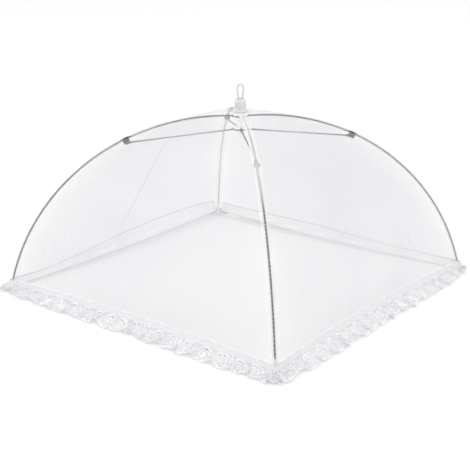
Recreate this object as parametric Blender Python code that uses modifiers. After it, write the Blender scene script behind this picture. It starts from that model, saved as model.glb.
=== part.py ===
"""Mesh food cover umbrella: a square net dome on four folding wire ribs.

Metres, +Z up. The origin is on the table, midway between the four feet, under the crown.
Each rib is a circular arc in the vertical plane through the axis and one corner. Four struts run
from the runner, which locks just under the crown, out to a clip on each rib.
"""

import math

import bmesh
import bpy
import numpy as np
from mathutils import Matrix, Vector

PART_NAME = "mesh_food_cover"

# General clearance between pieces that touch or nearly touch, and how far a cutter runs past a face
GAP = 0.0003
OVERRUN = 0.002

# Ribs: the square that they span at the hem, and the slope of the arc at its two ends
HEM_SIDE = 0.400
HEM_HEIGHT = 0.008
RIB_RADIUS = 0.0010
RIB_SLOPE_AT_CROWN = math.radians(-4.0)
RIB_SLOPE_AT_HEM = math.radians(76.0)
RIB_TIP_HEIGHT = 0.0014

# Wire rings that the ribs and struts turn on, and the eyes bent round them
RING_CIRCLE = 0.0070
RING_WIRE = 0.0007
EYE_WIRE = 0.0008
EYE_PLAY = 0.0004

# Crown hub, seen as a turned body with four slots
HUB_RADIUS = 0.0095
HUB_CHAMFER = 0.0010
HUB_CORE_PLAY = 0.0004
HUB_TOP_PLATE = 0.0015
HUB_BELOW = 0.0042
SLOT_PLAY = 0.0004
GROOVE_PLAY = 0.0003
BORE_RADIUS = 0.0026

# Top cap, whose flange clamps the net on the hub
CAP_HEIGHT = 0.0150
CAP_NECK_RADIUS = 0.0070
CAP_FLANGE = 0.0012
CAP_FLARE_HEIGHT = 0.0048
CAP_ROUND = 0.0008
CAP_RECESS_RADIUS = 0.0044
CAP_RECESS_DEPTH = 0.0030
CAP_SHANK_SHORT = 0.0012

# Pull loop in the cap: one cord, up one side, round a bend and down the other
LOOP_CORD = 0.0018
LOOP_RISE = 0.0178
LOOP_BEND = 0.0036
LOOP_FOOT = 0.0024

# Runner, which carries the struts, its stop post under the crown and its finger grip
HUB_SPACING = 0.0161
RUNNER_RADIUS = 0.0090
RUNNER_ABOVE = 0.0032
RUNNER_BELOW = 0.0042
POST_PLAY = 0.0001
GRIP_LENGTH = 0.0080
GRIP_WAIST = 0.0046
GRIP_RIM = 0.0062
GRIP_RIM_HEIGHT = 0.0022

# Clips on the ribs, as a share of the rib's length from the crown, and the rivets in them
CLIP_PLACE_share = 0.365
CLIP_SHEET = 0.00045
CLIP_LENGTH = 0.0080
CLIP_DROP = 0.0042
CLIP_END = 0.0018
RIVET_SHANK = 0.00075
RIVET_HEAD = 0.0017
RIVET_HEAD_HEIGHT = 0.0008
RIVET_PLAY = 0.0003

# Struts
STRUT_RADIUS = 0.0009
STRUT_TAB_RADIUS = 0.0024
STRUT_TAB_THICKNESS = 0.0012
STRUT_SIDE_PLAY = 0.00055

# How far the cover folds, at a rib's hinge in the crown
RIB_FOLD = math.radians(48.0)

# Net, its seam bands over the ribs and its hem tape
NET_THICKNESS = 0.0006
NET_HOLE_PLAY = 0.0008
NET_FACET_ROOM = 0.0002
NET_HEM_BOW = 0.0095
NET_DRAPE_REACH = 0.035
SEAM_HALF_WIDTH = 0.0060
SEAM_APEX_share = 0.40
TAPE_HEIGHT = 0.0050
TAPE_THICKNESS = 0.0010

# Lace trim, lying outward on the table
LACE_THICKNESS = 0.0008
LACE_REACH = 0.0290
LACE_CORNER_REACH = 0.0150
LACE_FLOOR = 0.0006
LACE_SCALLOPS = 16
LACE_SCALLOP_DEPTH = 0.0028
LACE_RIPPLE = 0.0016
LACE_CORNER_ROOM = 0.0044
LACE_OUTER_ROOM = 0.0008

# Corner pockets over the rib tips
POCKET_RADIUS = 0.0026
POCKET_BELOW_HEM = 0.0008

# How finely the round and curved pieces are faceted
TURN_STEPS = 24
RING_STEPS = 36
RING_SIDES = 6
EYE_STEPS = 12
EYE_SIDES = 6
RIB_STEPS = 24
LOOP_STEPS = 10
ROUND_STEPS = 16
CLIP_ARC_STEPS = 6
NET_ROWS = 18
NET_COLUMNS = 8
TAPE_COLUMNS = 12
LACE_STEPS_PER_SCALLOP = 6
LACE_ROWS = 2

# Points closer than this are one point, and a sharper turn than this stays an edge
WELD = 0.00001
SHARP_ANGLE = math.radians(35.0)

# Turns a shape's own Z axis to +Y
SIDEWAYS = Matrix.Rotation(math.radians(-90.0), 4, "X")

# Directions of the corners and of the sides, in degrees about +Z from +X
CORNERS = {"front": -45.0, "right": 45.0, "back": 135.0, "left": 225.0}
SIDES = {"front_left": -90.0, "front_right": 0.0, "back_right": 90.0, "back_left": 180.0}

# Places worked out from the sizes above
HALF_DIAGONAL = HEM_SIDE / math.sqrt(2)
SLOPE_TURN = RIB_SLOPE_AT_HEM - RIB_SLOPE_AT_CROWN
ARC_RADIUS = (HALF_DIAGONAL - RING_CIRCLE) / (math.sin(RIB_SLOPE_AT_HEM) - math.sin(RIB_SLOPE_AT_CROWN))
RIB_LENGTH = ARC_RADIUS * SLOPE_TURN
CROWN_Z = HEM_HEIGHT + ARC_RADIUS * (math.cos(RIB_SLOPE_AT_CROWN) - math.cos(RIB_SLOPE_AT_HEM))
RUNNER_Z = CROWN_Z - HUB_SPACING
EYE_RADIUS = RING_WIRE + EYE_PLAY + EYE_WIRE
EYE_OUTER = EYE_RADIUS + EYE_WIRE
SLOT_START = RING_CIRCLE - EYE_OUTER - HUB_CORE_PLAY
SLOT_CLEAR = EYE_OUTER + HUB_CORE_PLAY
SLOT_HALF_WIDTH = RIB_RADIUS + SLOT_PLAY
GROOVE_HALF = RING_WIRE + GROOVE_PLAY
GROOVE_FLOOR = RING_CIRCLE - GROOVE_HALF
HUB_TOP_Z = CROWN_Z + SLOT_CLEAR + HUB_TOP_PLATE
HUB_BOTTOM_Z = CROWN_Z - HUB_BELOW
NET_TOP_Z = HUB_TOP_Z + GAP
CAP_BASE_Z = NET_TOP_Z + NET_THICKNESS + GAP
CAP_TOP_Z = CAP_BASE_Z + CAP_HEIGHT
SHANK_RADIUS = BORE_RADIUS - GAP
CLIP_INNER = RIB_RADIUS + GAP
CLIP_OUTER = CLIP_INNER + CLIP_SHEET
CLIP_SLOPE = RIB_SLOPE_AT_CROWN + SLOPE_TURN * CLIP_PLACE_share
NET_LIFT = (CLIP_OUTER + GAP + NET_FACET_ROOM) * math.hypot(1, math.sin(CLIP_SLOPE))
STRUT_SIDE = CLIP_OUTER + STRUT_RADIUS + STRUT_SIDE_PLAY
# The net's hole and its flat top are squares about the shank and the hub, measured to their corners
NET_HOLE_CORNER = (SHANK_RADIUS + NET_HOLE_PLAY) * math.sqrt(2)
NET_FLAT_CORNER = HUB_RADIUS * math.sqrt(2)
POCKET_HEIGHT = HEM_HEIGHT - POCKET_BELOW_HEM


def clear_scene():
    """Remove every object that is in the file, and the data they leave."""
    for obj in list(bpy.data.objects):
        bpy.data.objects.remove(obj, do_unlink=True)


def make_collection(name):
    collection = bpy.data.collections.new(name)
    bpy.context.scene.collection.children.link(collection)
    return collection


def make_material(name, color, roughness, metallic=0.0):
    material = bpy.data.materials.new(name)
    material.use_nodes = True
    shader = material.node_tree.nodes["Principled BSDF"]
    shader.inputs["Base Color"].default_value = (*color, 1.0)
    shader.inputs["Roughness"].default_value = roughness
    shader.inputs["Metallic"].default_value = metallic
    return material


def new_mesh(name, points, faces):
    mesh = bpy.data.meshes.new(name)
    mesh.from_pydata([tuple(p) for p in points], [], [tuple(f) for f in faces])
    mesh.update()
    return mesh


def add_part(name, mesh, material, parent=None, matrix=None):
    """Make the named sub-part from a mesh. matrix is its place under parent, or in the world."""
    obj = bpy.data.objects.new(name, mesh)
    parts.objects.link(obj)
    if not mesh.materials:
        mesh.materials.append(material)
    if parent is not None:
        obj.parent = parent
    if matrix is not None:
        obj.matrix_basis = matrix
    return obj


def add_empty(name, matrix):
    """An empty on a joint's axis, which carries the pieces that turn about it."""
    empty = bpy.data.objects.new(name, None)
    parts.objects.link(empty)
    empty.empty_display_size = HUB_RADIUS
    empty.matrix_world = matrix
    return empty


def baked(obj, name):
    """The finished mesh of a working object, in world space and welded. The object is removed."""
    bpy.context.view_layer.update()
    graph = bpy.context.evaluated_depsgraph_get()
    mesh = bpy.data.meshes.new_from_object(obj.evaluated_get(graph))
    mesh.transform(obj.matrix_world)
    work = bmesh.new()
    work.from_mesh(mesh)
    bmesh.ops.remove_doubles(work, verts=work.verts, dist=WELD)
    work.to_mesh(mesh)
    work.free()
    mesh.name = name
    mesh.materials.clear()
    bpy.data.objects.remove(obj, do_unlink=True)
    return mesh


def rounded_shading(mesh):
    mesh.shade_smooth()
    mesh.set_sharp_from_angle(angle=SHARP_ANGLE)


def working(mesh, name="work"):
    """A working object that holds a mesh while it is cut or joined."""
    obj = bpy.data.objects.new(name, mesh)
    cutters.objects.link(obj)
    obj.hide_render = True
    obj.display_type = "WIRE"
    return obj


def combine(mesh, tools, operation, name):
    """Cut tools from a mesh, or join them to it, one exact Boolean each."""
    obj = working(mesh)
    helpers = [working(tool) for tool in tools]
    for helper in helpers:
        step = obj.modifiers.new("step", "BOOLEAN")
        step.operation = operation
        step.solver = "EXACT"
        step.object = helper
    result = baked(obj, name)
    for helper in helpers:
        bpy.data.objects.remove(helper, do_unlink=True)
    return result


def primitive(matrix):
    """The object that a primitive operator has just added, as a mesh in place."""
    obj = bpy.context.active_object
    obj.matrix_world = matrix @ obj.matrix_world
    return baked(obj, "shape")


def box(low, high):
    """A box between two opposite corners."""
    low, high = Vector(low), Vector(high)
    bpy.ops.mesh.primitive_cube_add(size=1)
    return primitive(Matrix.Translation((low + high) / 2) @ Matrix.Diagonal((*(high - low), 1)))


def cylinder(radius, length, matrix):
    bpy.ops.mesh.primitive_cylinder_add(vertices=ROUND_STEPS, radius=radius, depth=length)
    return primitive(matrix)


def torus(circle, wire, steps, sides, matrix):
    bpy.ops.mesh.primitive_torus_add(
        major_radius=circle, minor_radius=wire, major_segments=steps, minor_segments=sides
    )
    return primitive(matrix)


def tube(points, radius, name):
    """A wire along points, with closed ends, as a welded mesh."""
    curve = bpy.data.curves.new(name, "CURVE")
    curve.dimensions = "3D"
    curve.bevel_depth = radius
    curve.bevel_resolution = 2
    curve.use_fill_caps = True
    spline = curve.splines.new("POLY")
    spline.points.add(len(points) - 1)
    for place, point in zip(spline.points, points):
        place.co = (*point, 1)
    obj = bpy.data.objects.new(name, curve)
    cutters.objects.link(obj)
    return baked(obj, name)


def turned(profile, name, steps=TURN_STEPS, closed=False):
    """A body turned about Z. profile is (radius, height) pairs, down its outer side at +X."""
    points = [(radius, 0, height) for radius, height in profile]
    edges = [(i, i + 1) for i in range(len(points) - 1)]
    if closed:
        edges.append((len(points) - 1, 0))
    mesh = bpy.data.meshes.new(name)
    mesh.from_pydata(points, edges, [])
    obj = working(mesh)
    screw = obj.modifiers.new("turn", "SCREW")
    screw.axis = "Z"
    screw.steps = steps
    screw.render_steps = steps
    screw.use_merge_vertices = True
    screw.merge_threshold = WELD
    return baked(obj, name)


def shell(points, thickness, name):
    """A sheet from a grid of points, rows outward and columns to the left, thickened outward."""
    rows, columns, _ = points.shape
    index = np.arange(rows * columns).reshape(rows, columns)
    faces = np.stack([index[:-1, :-1], index[1:, :-1], index[1:, 1:], index[:-1, 1:]], axis=-1)
    obj = working(new_mesh(name, points.reshape(-1, 3), faces.reshape(-1, 4)))
    solid = obj.modifiers.new("thickness", "SOLIDIFY")
    solid.thickness = thickness
    solid.offset = 1
    solid.use_even_offset = True
    return baked(obj, name)


def rib_arc(share):
    """Radius, height and slope of a rib's centre line at a share of its length from the crown."""
    slope = RIB_SLOPE_AT_CROWN + SLOPE_TURN * share
    radius = RING_CIRCLE + ARC_RADIUS * (np.sin(slope) - math.sin(RIB_SLOPE_AT_CROWN))
    height = CROWN_Z - ARC_RADIUS * (math.cos(RIB_SLOPE_AT_CROWN) - np.cos(slope))
    return radius, height, slope


def clip_pivot():
    """Radius and height of the rivet in a clip, which hangs square to the rib."""
    radius, height, slope = rib_arc(CLIP_PLACE_share)
    return radius - CLIP_DROP * math.sin(slope), height - CLIP_DROP * math.cos(slope)


PIVOT_RADIUS, PIVOT_Z = clip_pivot()
CROWN_TO_PIVOT = math.hypot(PIVOT_RADIUS - RING_CIRCLE, CROWN_Z - PIVOT_Z)
STRUT_LENGTH = math.hypot(PIVOT_RADIUS - RING_CIRCLE, RUNNER_Z - PIVOT_Z)
RIB_ANGLE = math.asin((CROWN_Z - PIVOT_Z) / CROWN_TO_PIVOT)
STRUT_ANGLE = math.asin((PIVOT_Z - RUNNER_Z) / STRUT_LENGTH)
FOLDED_RIB_ANGLE = RIB_ANGLE + RIB_FOLD
FOLDED_STRUT_ANGLE = math.acos(CROWN_TO_PIVOT * math.cos(FOLDED_RIB_ANGLE) / STRUT_LENGTH)
FOLDED_SPACING = CROWN_TO_PIVOT * math.sin(FOLDED_RIB_ANGLE) + STRUT_LENGTH * math.sin(FOLDED_STRUT_ANGLE)
CROWN_TRAVEL = FOLDED_SPACING - HUB_SPACING
STRUT_SWING = FOLDED_STRUT_ANGLE - STRUT_ANGLE


def corner_turn(corner):
    """Turns a piece modelled in the X-Z plane into the vertical plane of a corner."""
    return Matrix.Rotation(math.radians(CORNERS[corner]), 4, "Z")


def slot_cutters(low, high):
    """Four radial slots, from beside the core out past the rim, between two heights."""
    slot = ((SLOT_START, -SLOT_HALF_WIDTH, low), (HUB_RADIUS + OVERRUN, SLOT_HALF_WIDTH, high))
    cuts = []
    for corner in CORNERS:
        cut = box(*slot)
        cut.transform(corner_turn(corner))
        cuts.append(cut)
    return cuts


def make_crown_hub(material):
    """White hub with a ring groove in its rim and slots that open down and outward."""
    profile = [
        (BORE_RADIUS, HUB_TOP_Z),
        (HUB_RADIUS - HUB_CHAMFER, HUB_TOP_Z),
        (HUB_RADIUS, HUB_TOP_Z - HUB_CHAMFER),
        (HUB_RADIUS, CROWN_Z + GROOVE_HALF),
        (GROOVE_FLOOR, CROWN_Z + GROOVE_HALF),
        (GROOVE_FLOOR, CROWN_Z - GROOVE_HALF),
        (HUB_RADIUS, CROWN_Z - GROOVE_HALF),
        (HUB_RADIUS, HUB_BOTTOM_Z + HUB_CHAMFER),
        (HUB_RADIUS - HUB_CHAMFER, HUB_BOTTOM_Z),
        (BORE_RADIUS, HUB_BOTTOM_Z),
    ]
    body = turned(profile, "crown_hub", closed=True)
    cuts = slot_cutters(HUB_BOTTOM_Z - OVERRUN, CROWN_Z + SLOT_CLEAR)
    mesh = combine(body, cuts, "DIFFERENCE", "crown_hub")
    rounded_shading(mesh)
    add_part("crown_hub", mesh, material)


def make_runner_hub(material):
    """White runner: slots that open up and outward, a stop post above and a finger grip below."""
    top = RUNNER_Z + RUNNER_ABOVE
    bottom = RUNNER_Z - RUNNER_BELOW
    post_top = HUB_BOTTOM_Z - GAP
    post_radius = SLOT_START - POST_PLAY
    grip_end = bottom - GRIP_LENGTH
    profile = [
        (0, post_top),
        (post_radius, post_top),
        (post_radius, top),
        (RUNNER_RADIUS - HUB_CHAMFER, top),
        (RUNNER_RADIUS, top - HUB_CHAMFER),
        (RUNNER_RADIUS, RUNNER_Z + GROOVE_HALF),
        (GROOVE_FLOOR, RUNNER_Z + GROOVE_HALF),
        (GROOVE_FLOOR, RUNNER_Z - GROOVE_HALF),
        (RUNNER_RADIUS, RUNNER_Z - GROOVE_HALF),
        (RUNNER_RADIUS, bottom + HUB_CHAMFER),
        (RUNNER_RADIUS - HUB_CHAMFER, bottom),
        (GRIP_WAIST, bottom - HUB_CHAMFER),
        (GRIP_WAIST, grip_end + GRIP_RIM_HEIGHT),
        (GRIP_RIM, grip_end + HUB_CHAMFER),
        (GRIP_RIM, grip_end),
        (0, grip_end),
    ]
    body = turned(profile, "runner_hub")
    cuts = slot_cutters(RUNNER_Z - SLOT_CLEAR, top + OVERRUN)
    mesh = combine(body, cuts, "DIFFERENCE", "runner_hub")
    rounded_shading(mesh)
    add_part("runner_hub", mesh, material)


def make_rings(material):
    """The two wire rings on which ribs and struts turn."""
    for name, height in (("crown_ring", CROWN_Z), ("runner_ring", RUNNER_Z)):
        place = Matrix.Translation((0, 0, height))
        mesh = torus(RING_CIRCLE, RING_WIRE, RING_STEPS, RING_SIDES, place)
        mesh.shade_smooth()
        add_part(name, mesh, material)


def make_top_cap(material):
    """Cap with a flange over the net, a shank through the hub's bore and a recess for the loop."""
    recess_floor = CAP_TOP_Z - CAP_RECESS_DEPTH
    flare_top = CAP_BASE_Z + CAP_FLARE_HEIGHT
    flange_top = CAP_BASE_Z + CAP_FLANGE
    shank_end = HUB_BOTTOM_Z + CAP_SHANK_SHORT
    flare_rise = flare_top - flange_top
    flare_run = HUB_RADIUS - CAP_NECK_RADIUS
    flare_shares = ((0.42, 0.70), (0.75, 0.32))
    flare = [
        (HUB_RADIUS - flare_run * run, flare_top - flare_rise * fall) for run, fall in reversed(flare_shares)
    ]
    profile = [
        (0, recess_floor),
        (CAP_RECESS_RADIUS, recess_floor),
        (CAP_RECESS_RADIUS, CAP_TOP_Z),
        (CAP_NECK_RADIUS - CAP_ROUND, CAP_TOP_Z),
        (CAP_NECK_RADIUS, CAP_TOP_Z - CAP_ROUND),
        (CAP_NECK_RADIUS, flare_top),
        *flare,
        (HUB_RADIUS, flange_top),
        (HUB_RADIUS, CAP_BASE_Z),
        (SHANK_RADIUS, CAP_BASE_Z),
        (SHANK_RADIUS, shank_end),
        (0, shank_end),
    ]
    mesh = turned(profile, "top_cap")
    rounded_shading(mesh)
    add_part("top_cap", mesh, material)


def loop_route():
    """Points of the pull loop, across the view: up from the recess, over the bend and down."""
    foot = CAP_TOP_Z - CAP_RECESS_DEPTH + GAP
    bend_z = CAP_TOP_Z + LOOP_RISE - LOOP_BEND - LOOP_CORD / 2
    rise = bend_z - foot
    shares = [i / LOOP_STEPS for i in range(LOOP_STEPS)]
    widths = [LOOP_FOOT + (LOOP_BEND - LOOP_FOOT) * (3 * s * s - 2 * s * s * s) for s in shares]
    side = [(width, foot + rise * share) for width, share in zip(widths, shares)]
    turn = [math.pi * i / LOOP_STEPS for i in range(LOOP_STEPS + 1)]
    over = [(LOOP_BEND * math.cos(a), bend_z + LOOP_BEND * math.sin(a)) for a in turn]
    back = [(-x, z) for x, z in reversed(side)]
    return [(x, 0, z) for x, z in side + over + back]


def make_pull_loop(material):
    mesh = tube(loop_route(), LOOP_CORD / 2, "pull_loop")
    mesh.transform(corner_turn("right"))
    mesh.shade_smooth()
    add_part("pull_loop", mesh, material)


def rib_route():
    """Centre line of a rib from its hinge: the arc to the hem, then straight on to the tip."""
    shares = np.linspace(0, 1, RIB_STEPS + 1)
    radius, height, slope = rib_arc(shares)
    points = [(r - RING_CIRCLE, 0, z - CROWN_Z) for r, z in zip(radius, height)]
    points[0] = (EYE_RADIUS * math.cos(RIB_SLOPE_AT_CROWN), 0, -EYE_RADIUS * math.sin(RIB_SLOPE_AT_CROWN))
    drop = HEM_HEIGHT - RIB_TIP_HEIGHT
    tip = (points[-1][0] + drop / math.tan(RIB_SLOPE_AT_HEM), 0, points[-1][2] - drop)
    return points + [tip]


def make_rib_mesh():
    """A rib wire with its eye, its hinge at the origin and the rib running along +X."""
    route = rib_route()
    wire = tube(route, RIB_RADIUS, "rib")
    eye = torus(EYE_RADIUS, EYE_WIRE, EYE_STEPS, EYE_SIDES, SIDEWAYS)
    mesh = combine(wire, [eye], "UNION", "rib")
    rounded_shading(mesh)
    return mesh


def make_clip_mesh():
    """A strip of sheet folded over the rib: a round saddle with two cheeks, and a rivet hole."""
    turn = [math.pi * i / CLIP_ARC_STEPS for i in range(CLIP_ARC_STEPS + 1)]
    outer = [(CLIP_OUTER * math.cos(a), CLIP_OUTER * math.sin(a)) for a in turn]
    inner = [(CLIP_INNER * math.cos(a), CLIP_INNER * math.sin(a)) for a in reversed(turn)]
    foot = -CLIP_DROP - CLIP_END
    outline = [(CLIP_OUTER, foot), *outer, (-CLIP_OUTER, foot), (-CLIP_INNER, foot), *inner, (CLIP_INNER, foot)]
    curve = bpy.data.curves.new("clip", "CURVE")
    curve.dimensions = "2D"
    curve.fill_mode = "BOTH"
    curve.extrude = CLIP_LENGTH / 2
    spline = curve.splines.new("POLY")
    spline.points.add(len(outline) - 1)
    for place, (x, y) in zip(spline.points, outline):
        place.co = (x, y, 0, 1)
    spline.use_cyclic_u = True
    obj = bpy.data.objects.new("clip", curve)
    cutters.objects.link(obj)
    upright = Matrix(((0, 0, 1, 0), (1, 0, 0, 0), (0, 1, 0, 0), (0, 0, 0, 1)))
    obj.matrix_world = upright
    body = baked(obj, "clip")
    hole_place = Matrix.Translation((0, 0, -CLIP_DROP)) @ SIDEWAYS
    hole = cylinder(RIVET_SHANK + RIVET_PLAY, 2 * CLIP_OUTER + 2 * OVERRUN, hole_place)
    mesh = combine(body, [hole], "DIFFERENCE", "clip")
    rounded_shading(mesh)
    return mesh


def make_pocket_mesh():
    """A short fabric pocket over a rib's tip, in the plane of the rib and cut flat on the table."""
    lean = 1 / math.tan(RIB_SLOPE_AT_HEM)

    def on_axis(height):
        return (HALF_DIAGONAL + (HEM_HEIGHT - height) * lean, 0, height)

    body = tube([on_axis(POCKET_HEIGHT), on_axis(-OVERRUN)], POCKET_RADIUS, "pocket")
    bore = tube([on_axis(POCKET_HEIGHT + OVERRUN), on_axis(RIB_TIP_HEIGHT - GAP)], RIB_RADIUS + GAP, "bore")
    reach = HALF_DIAGONAL + HEM_SIDE
    ground = box((0, -HEM_SIDE, -HEM_SIDE), (reach, HEM_SIDE, 0))
    mesh = combine(body, [bore, ground], "DIFFERENCE", "pocket")
    rounded_shading(mesh)
    return mesh


def make_ribs(steel, fabric):
    """Four ribs, each with its clip and its corner pocket, under an empty on its hinge."""
    rib_mesh = make_rib_mesh()
    clip_mesh = make_clip_mesh()
    pocket_mesh = make_pocket_mesh()
    radius, height, slope = rib_arc(CLIP_PLACE_share)
    clip_place = Matrix.Translation((radius - RING_CIRCLE, 0, height - CROWN_Z))
    clip_turn = Matrix.Rotation(slope, 4, "Y")
    pocket_place = Matrix.Translation((-RING_CIRCLE, 0, -CROWN_Z))
    for corner in CORNERS:
        hinge = corner_turn(corner) @ Matrix.Translation((RING_CIRCLE, 0, CROWN_Z))
        carrier = add_empty(f"rib_{corner}_hinge", hinge)
        add_part(f"rib_{corner}", rib_mesh, steel, carrier)
        add_part(f"clip_{corner}", clip_mesh, steel, carrier, clip_place @ clip_turn)
        add_part(f"corner_pocket_{corner}", pocket_mesh, fabric, carrier, pocket_place)


def make_strut_mesh():
    """A straight strut along +X with an eye at its hinge and a drilled tab beside the clip."""
    lean = STRUT_SIDE / STRUT_LENGTH
    start = EYE_RADIUS
    end = STRUT_LENGTH - STRUT_TAB_RADIUS + STRUT_TAB_THICKNESS
    wire = tube([(start, start * lean, 0), (end, end * lean, 0)], STRUT_RADIUS, "strut")
    eye = torus(EYE_RADIUS, EYE_WIRE, EYE_STEPS, EYE_SIDES, SIDEWAYS)
    tab_place = Matrix.Translation((STRUT_LENGTH, STRUT_SIDE, 0)) @ SIDEWAYS
    tab = cylinder(STRUT_TAB_RADIUS, STRUT_TAB_THICKNESS, tab_place)
    joined = combine(wire, [eye, tab], "UNION", "strut")
    hole = cylinder(RIVET_SHANK + RIVET_PLAY, STRUT_TAB_THICKNESS + 2 * OVERRUN, tab_place)
    mesh = combine(joined, [hole], "DIFFERENCE", "strut")
    rounded_shading(mesh)
    return mesh


def make_rivet_mesh():
    """A rivet along its own Z: shank towards the clip, head outside the strut's tab."""
    near = CLIP_OUTER + GAP
    seat = STRUT_SIDE + STRUT_TAB_THICKNESS / 2 + GAP
    top = seat + RIVET_HEAD_HEIGHT
    dome_shares = ((0.55, 0.92), (0.85, 0.62))
    dome = [(RIVET_HEAD * across, seat + RIVET_HEAD_HEIGHT * up) for across, up in dome_shares]
    profile = [(0, top), *dome, (RIVET_HEAD, seat), (RIVET_SHANK, seat), (RIVET_SHANK, near), (0, near)]
    mesh = turned(profile, "rivet", steps=ROUND_STEPS // 2)
    rounded_shading(mesh)
    return mesh


def make_struts(steel):
    """Four struts with their rivets, under an empty on each hinge in the runner."""
    strut_mesh = make_strut_mesh()
    rivet_mesh = make_rivet_mesh()
    rivet_place = Matrix.Translation((STRUT_LENGTH, 0, 0)) @ SIDEWAYS
    for corner in CORNERS:
        lean = Matrix.Rotation(-STRUT_ANGLE, 4, "Y")
        hinge = corner_turn(corner) @ Matrix.Translation((RING_CIRCLE, 0, RUNNER_Z)) @ lean
        carrier = add_empty(f"strut_{corner}_hinge", hinge)
        add_part(f"strut_{corner}", strut_mesh, steel, carrier)
        add_part(f"rivet_{corner}", rivet_mesh, steel, carrier, rivet_place)


def net_profile(share):
    """Radius and height of the net over a rib: just clear of the wire, and lifted over the hub."""
    radius, height, slope = rib_arc(np.asarray(share, dtype=float))
    radius = radius + NET_LIFT * np.sin(slope)
    height = height + NET_LIFT * np.cos(slope)
    hub_share = share_at_radius(NET_FLAT_CORNER)
    _, hub_height, hub_slope = rib_arc(hub_share)
    drape = NET_TOP_Z - hub_height - NET_LIFT * np.cos(hub_slope)
    past = np.clip((radius - NET_FLAT_CORNER) / NET_DRAPE_REACH, 0, 1)
    lifted = height + drape * (1 - past) ** 2
    return radius, np.where(radius <= NET_FLAT_CORNER, NET_TOP_Z, lifted)


def share_at_radius(radius):
    """The share of a rib's length at which its centre line is at a radius."""
    slope = math.asin((radius - RING_CIRCLE) / ARC_RADIUS + math.sin(RIB_SLOPE_AT_CROWN))
    return (slope - RIB_SLOPE_AT_CROWN) / SLOPE_TURN


def net_rows(tape_room):
    """Shares of the rib's length for rows of net, from the cap's shank to tape_room above the tape."""
    first = share_at_radius(NET_HOLE_CORNER)
    rim = share_at_radius(NET_FLAT_CORNER)
    last = hem_share_above(TAPE_HEIGHT + tape_room)
    return np.concatenate([[first], np.linspace(rim, last, NET_ROWS)])


def seam_half(width):
    """Half the width of a seam band, narrower where the bands meet under the cap."""
    return np.minimum(SEAM_HALF_WIDTH, SEAM_APEX_share * width)


def side_point(shares, across):
    """Outward, sideways and height of the net on one side. across is -1 to 1 between the ribs.

    Level lines run straight from rib to rib, and bow inward in the middle towards the hem.
    """
    radius, height = net_profile(shares)
    width = radius / math.sqrt(2)
    bow = NET_HEM_BOW * np.clip(shares, 0, 1) ** 2
    outward = width - bow * (1 - across**2)
    return outward, across * width, height


def side_grid(shares, columns, edge_room):
    """A grid on one side that stops edge_room short of the seam bands."""
    rows = np.asarray(shares)[:, None]
    radius, _ = net_profile(rows)
    width = radius / math.sqrt(2)
    reach = (width - seam_half(width) - edge_room) / width
    across = np.linspace(-1, 1, columns + 1)[None, :] * reach
    return np.stack(np.broadcast_arrays(*side_point(rows, across)), axis=-1)


def onto_side(points, side):
    """Turn points of (outward, sideways, height) to a side of the cover."""
    turn = np.array(Matrix.Rotation(math.radians(SIDES[side]), 3, "Z"))
    return points @ turn.T


def hem_share_above(height):
    """The share of the rib's length that ends a height above the hem, along the wire."""
    return 1 - height / RIB_LENGTH


def make_net(net, tape):
    """Four net gores, four seam bands over the ribs and four hem tapes."""
    gore = side_grid(net_rows(GAP), NET_COLUMNS, GAP)
    tape_rows = np.array([hem_share_above(TAPE_HEIGHT), 1])
    strip = side_grid(tape_rows, TAPE_COLUMNS, GAP)
    for side in SIDES:
        gore_mesh = shell(onto_side(gore, side), NET_THICKNESS, f"net_gore_{side}")
        add_part(f"net_gore_{side}", gore_mesh, net)
        tape_mesh = shell(onto_side(strip, side), TAPE_THICKNESS, f"hem_tape_{side}")
        add_part(f"hem_tape_{side}", tape_mesh, tape)
    band = seam_grid()
    for corner in CORNERS:
        turn = np.array(corner_turn(corner).to_3x3())
        band_mesh = shell(band @ turn.T, NET_THICKNESS, f"seam_band_{corner}")
        add_part(f"seam_band_{corner}", band_mesh, tape)


def seam_grid():
    """A band folded over a rib, as (radius, sideways, height): edge, ridge, edge."""
    shares = np.append(net_rows(0), 1)
    radius, height = net_profile(shares)
    width = radius / math.sqrt(2)
    across = 1 - seam_half(width) / width
    outward, sideways, _ = side_point(shares, across)
    edge_radius = (outward + sideways) / math.sqrt(2)
    edge_side = (outward - sideways) / math.sqrt(2)
    right = np.stack([edge_radius, -edge_side, height], axis=-1)
    ridge = np.stack([radius, np.zeros_like(radius), height], axis=-1)
    left = np.stack([edge_radius, edge_side, height], axis=-1)
    return np.stack([right, ridge, left], axis=1)


def lace_grid():
    """The lace along one side: from under the hem tape down and outward, rippled and scalloped."""
    out = np.linspace(0, 1, LACE_ROWS + 1)[:, None]
    columns = LACE_SCALLOPS * LACE_STEPS_PER_SCALLOP
    across = np.linspace(-1, 1, columns + 1)[None, :]
    hem_outward, _, hem_height = side_point(np.ones(1), across)
    hem_half_width = float(side_point(np.ones(1), np.ones(1))[1][0])
    reach = LACE_CORNER_REACH + (LACE_REACH - LACE_CORNER_REACH) * (1 - across**4)
    wave = np.cos(across * math.pi * LACE_SCALLOPS)
    reach = reach - LACE_SCALLOP_DEPTH * (1 - np.abs(np.sin(across * math.pi * LACE_SCALLOPS / 2)))
    outward = hem_outward + reach * out
    corner_outward = hem_half_width + reach[:, -1:] * out
    room = LACE_CORNER_ROOM + (LACE_OUTER_ROOM - LACE_CORNER_ROOM) * out
    sideways = across * (corner_outward - room)
    start = hem_height - GAP - LACE_THICKNESS
    fall = (1 - out) ** 2
    height = LACE_FLOOR + (start - LACE_FLOOR) * fall + LACE_RIPPLE * (1 + wave) / 2 * out
    return np.stack(np.broadcast_arrays(outward, sideways, height), axis=-1)


def make_lace(material):
    grid = lace_grid()
    for side in SIDES:
        mesh = shell(onto_side(grid, side), LACE_THICKNESS, f"lace_trim_{side}")
        mesh.shade_smooth()
        add_part(f"lace_trim_{side}", mesh, material)


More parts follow.
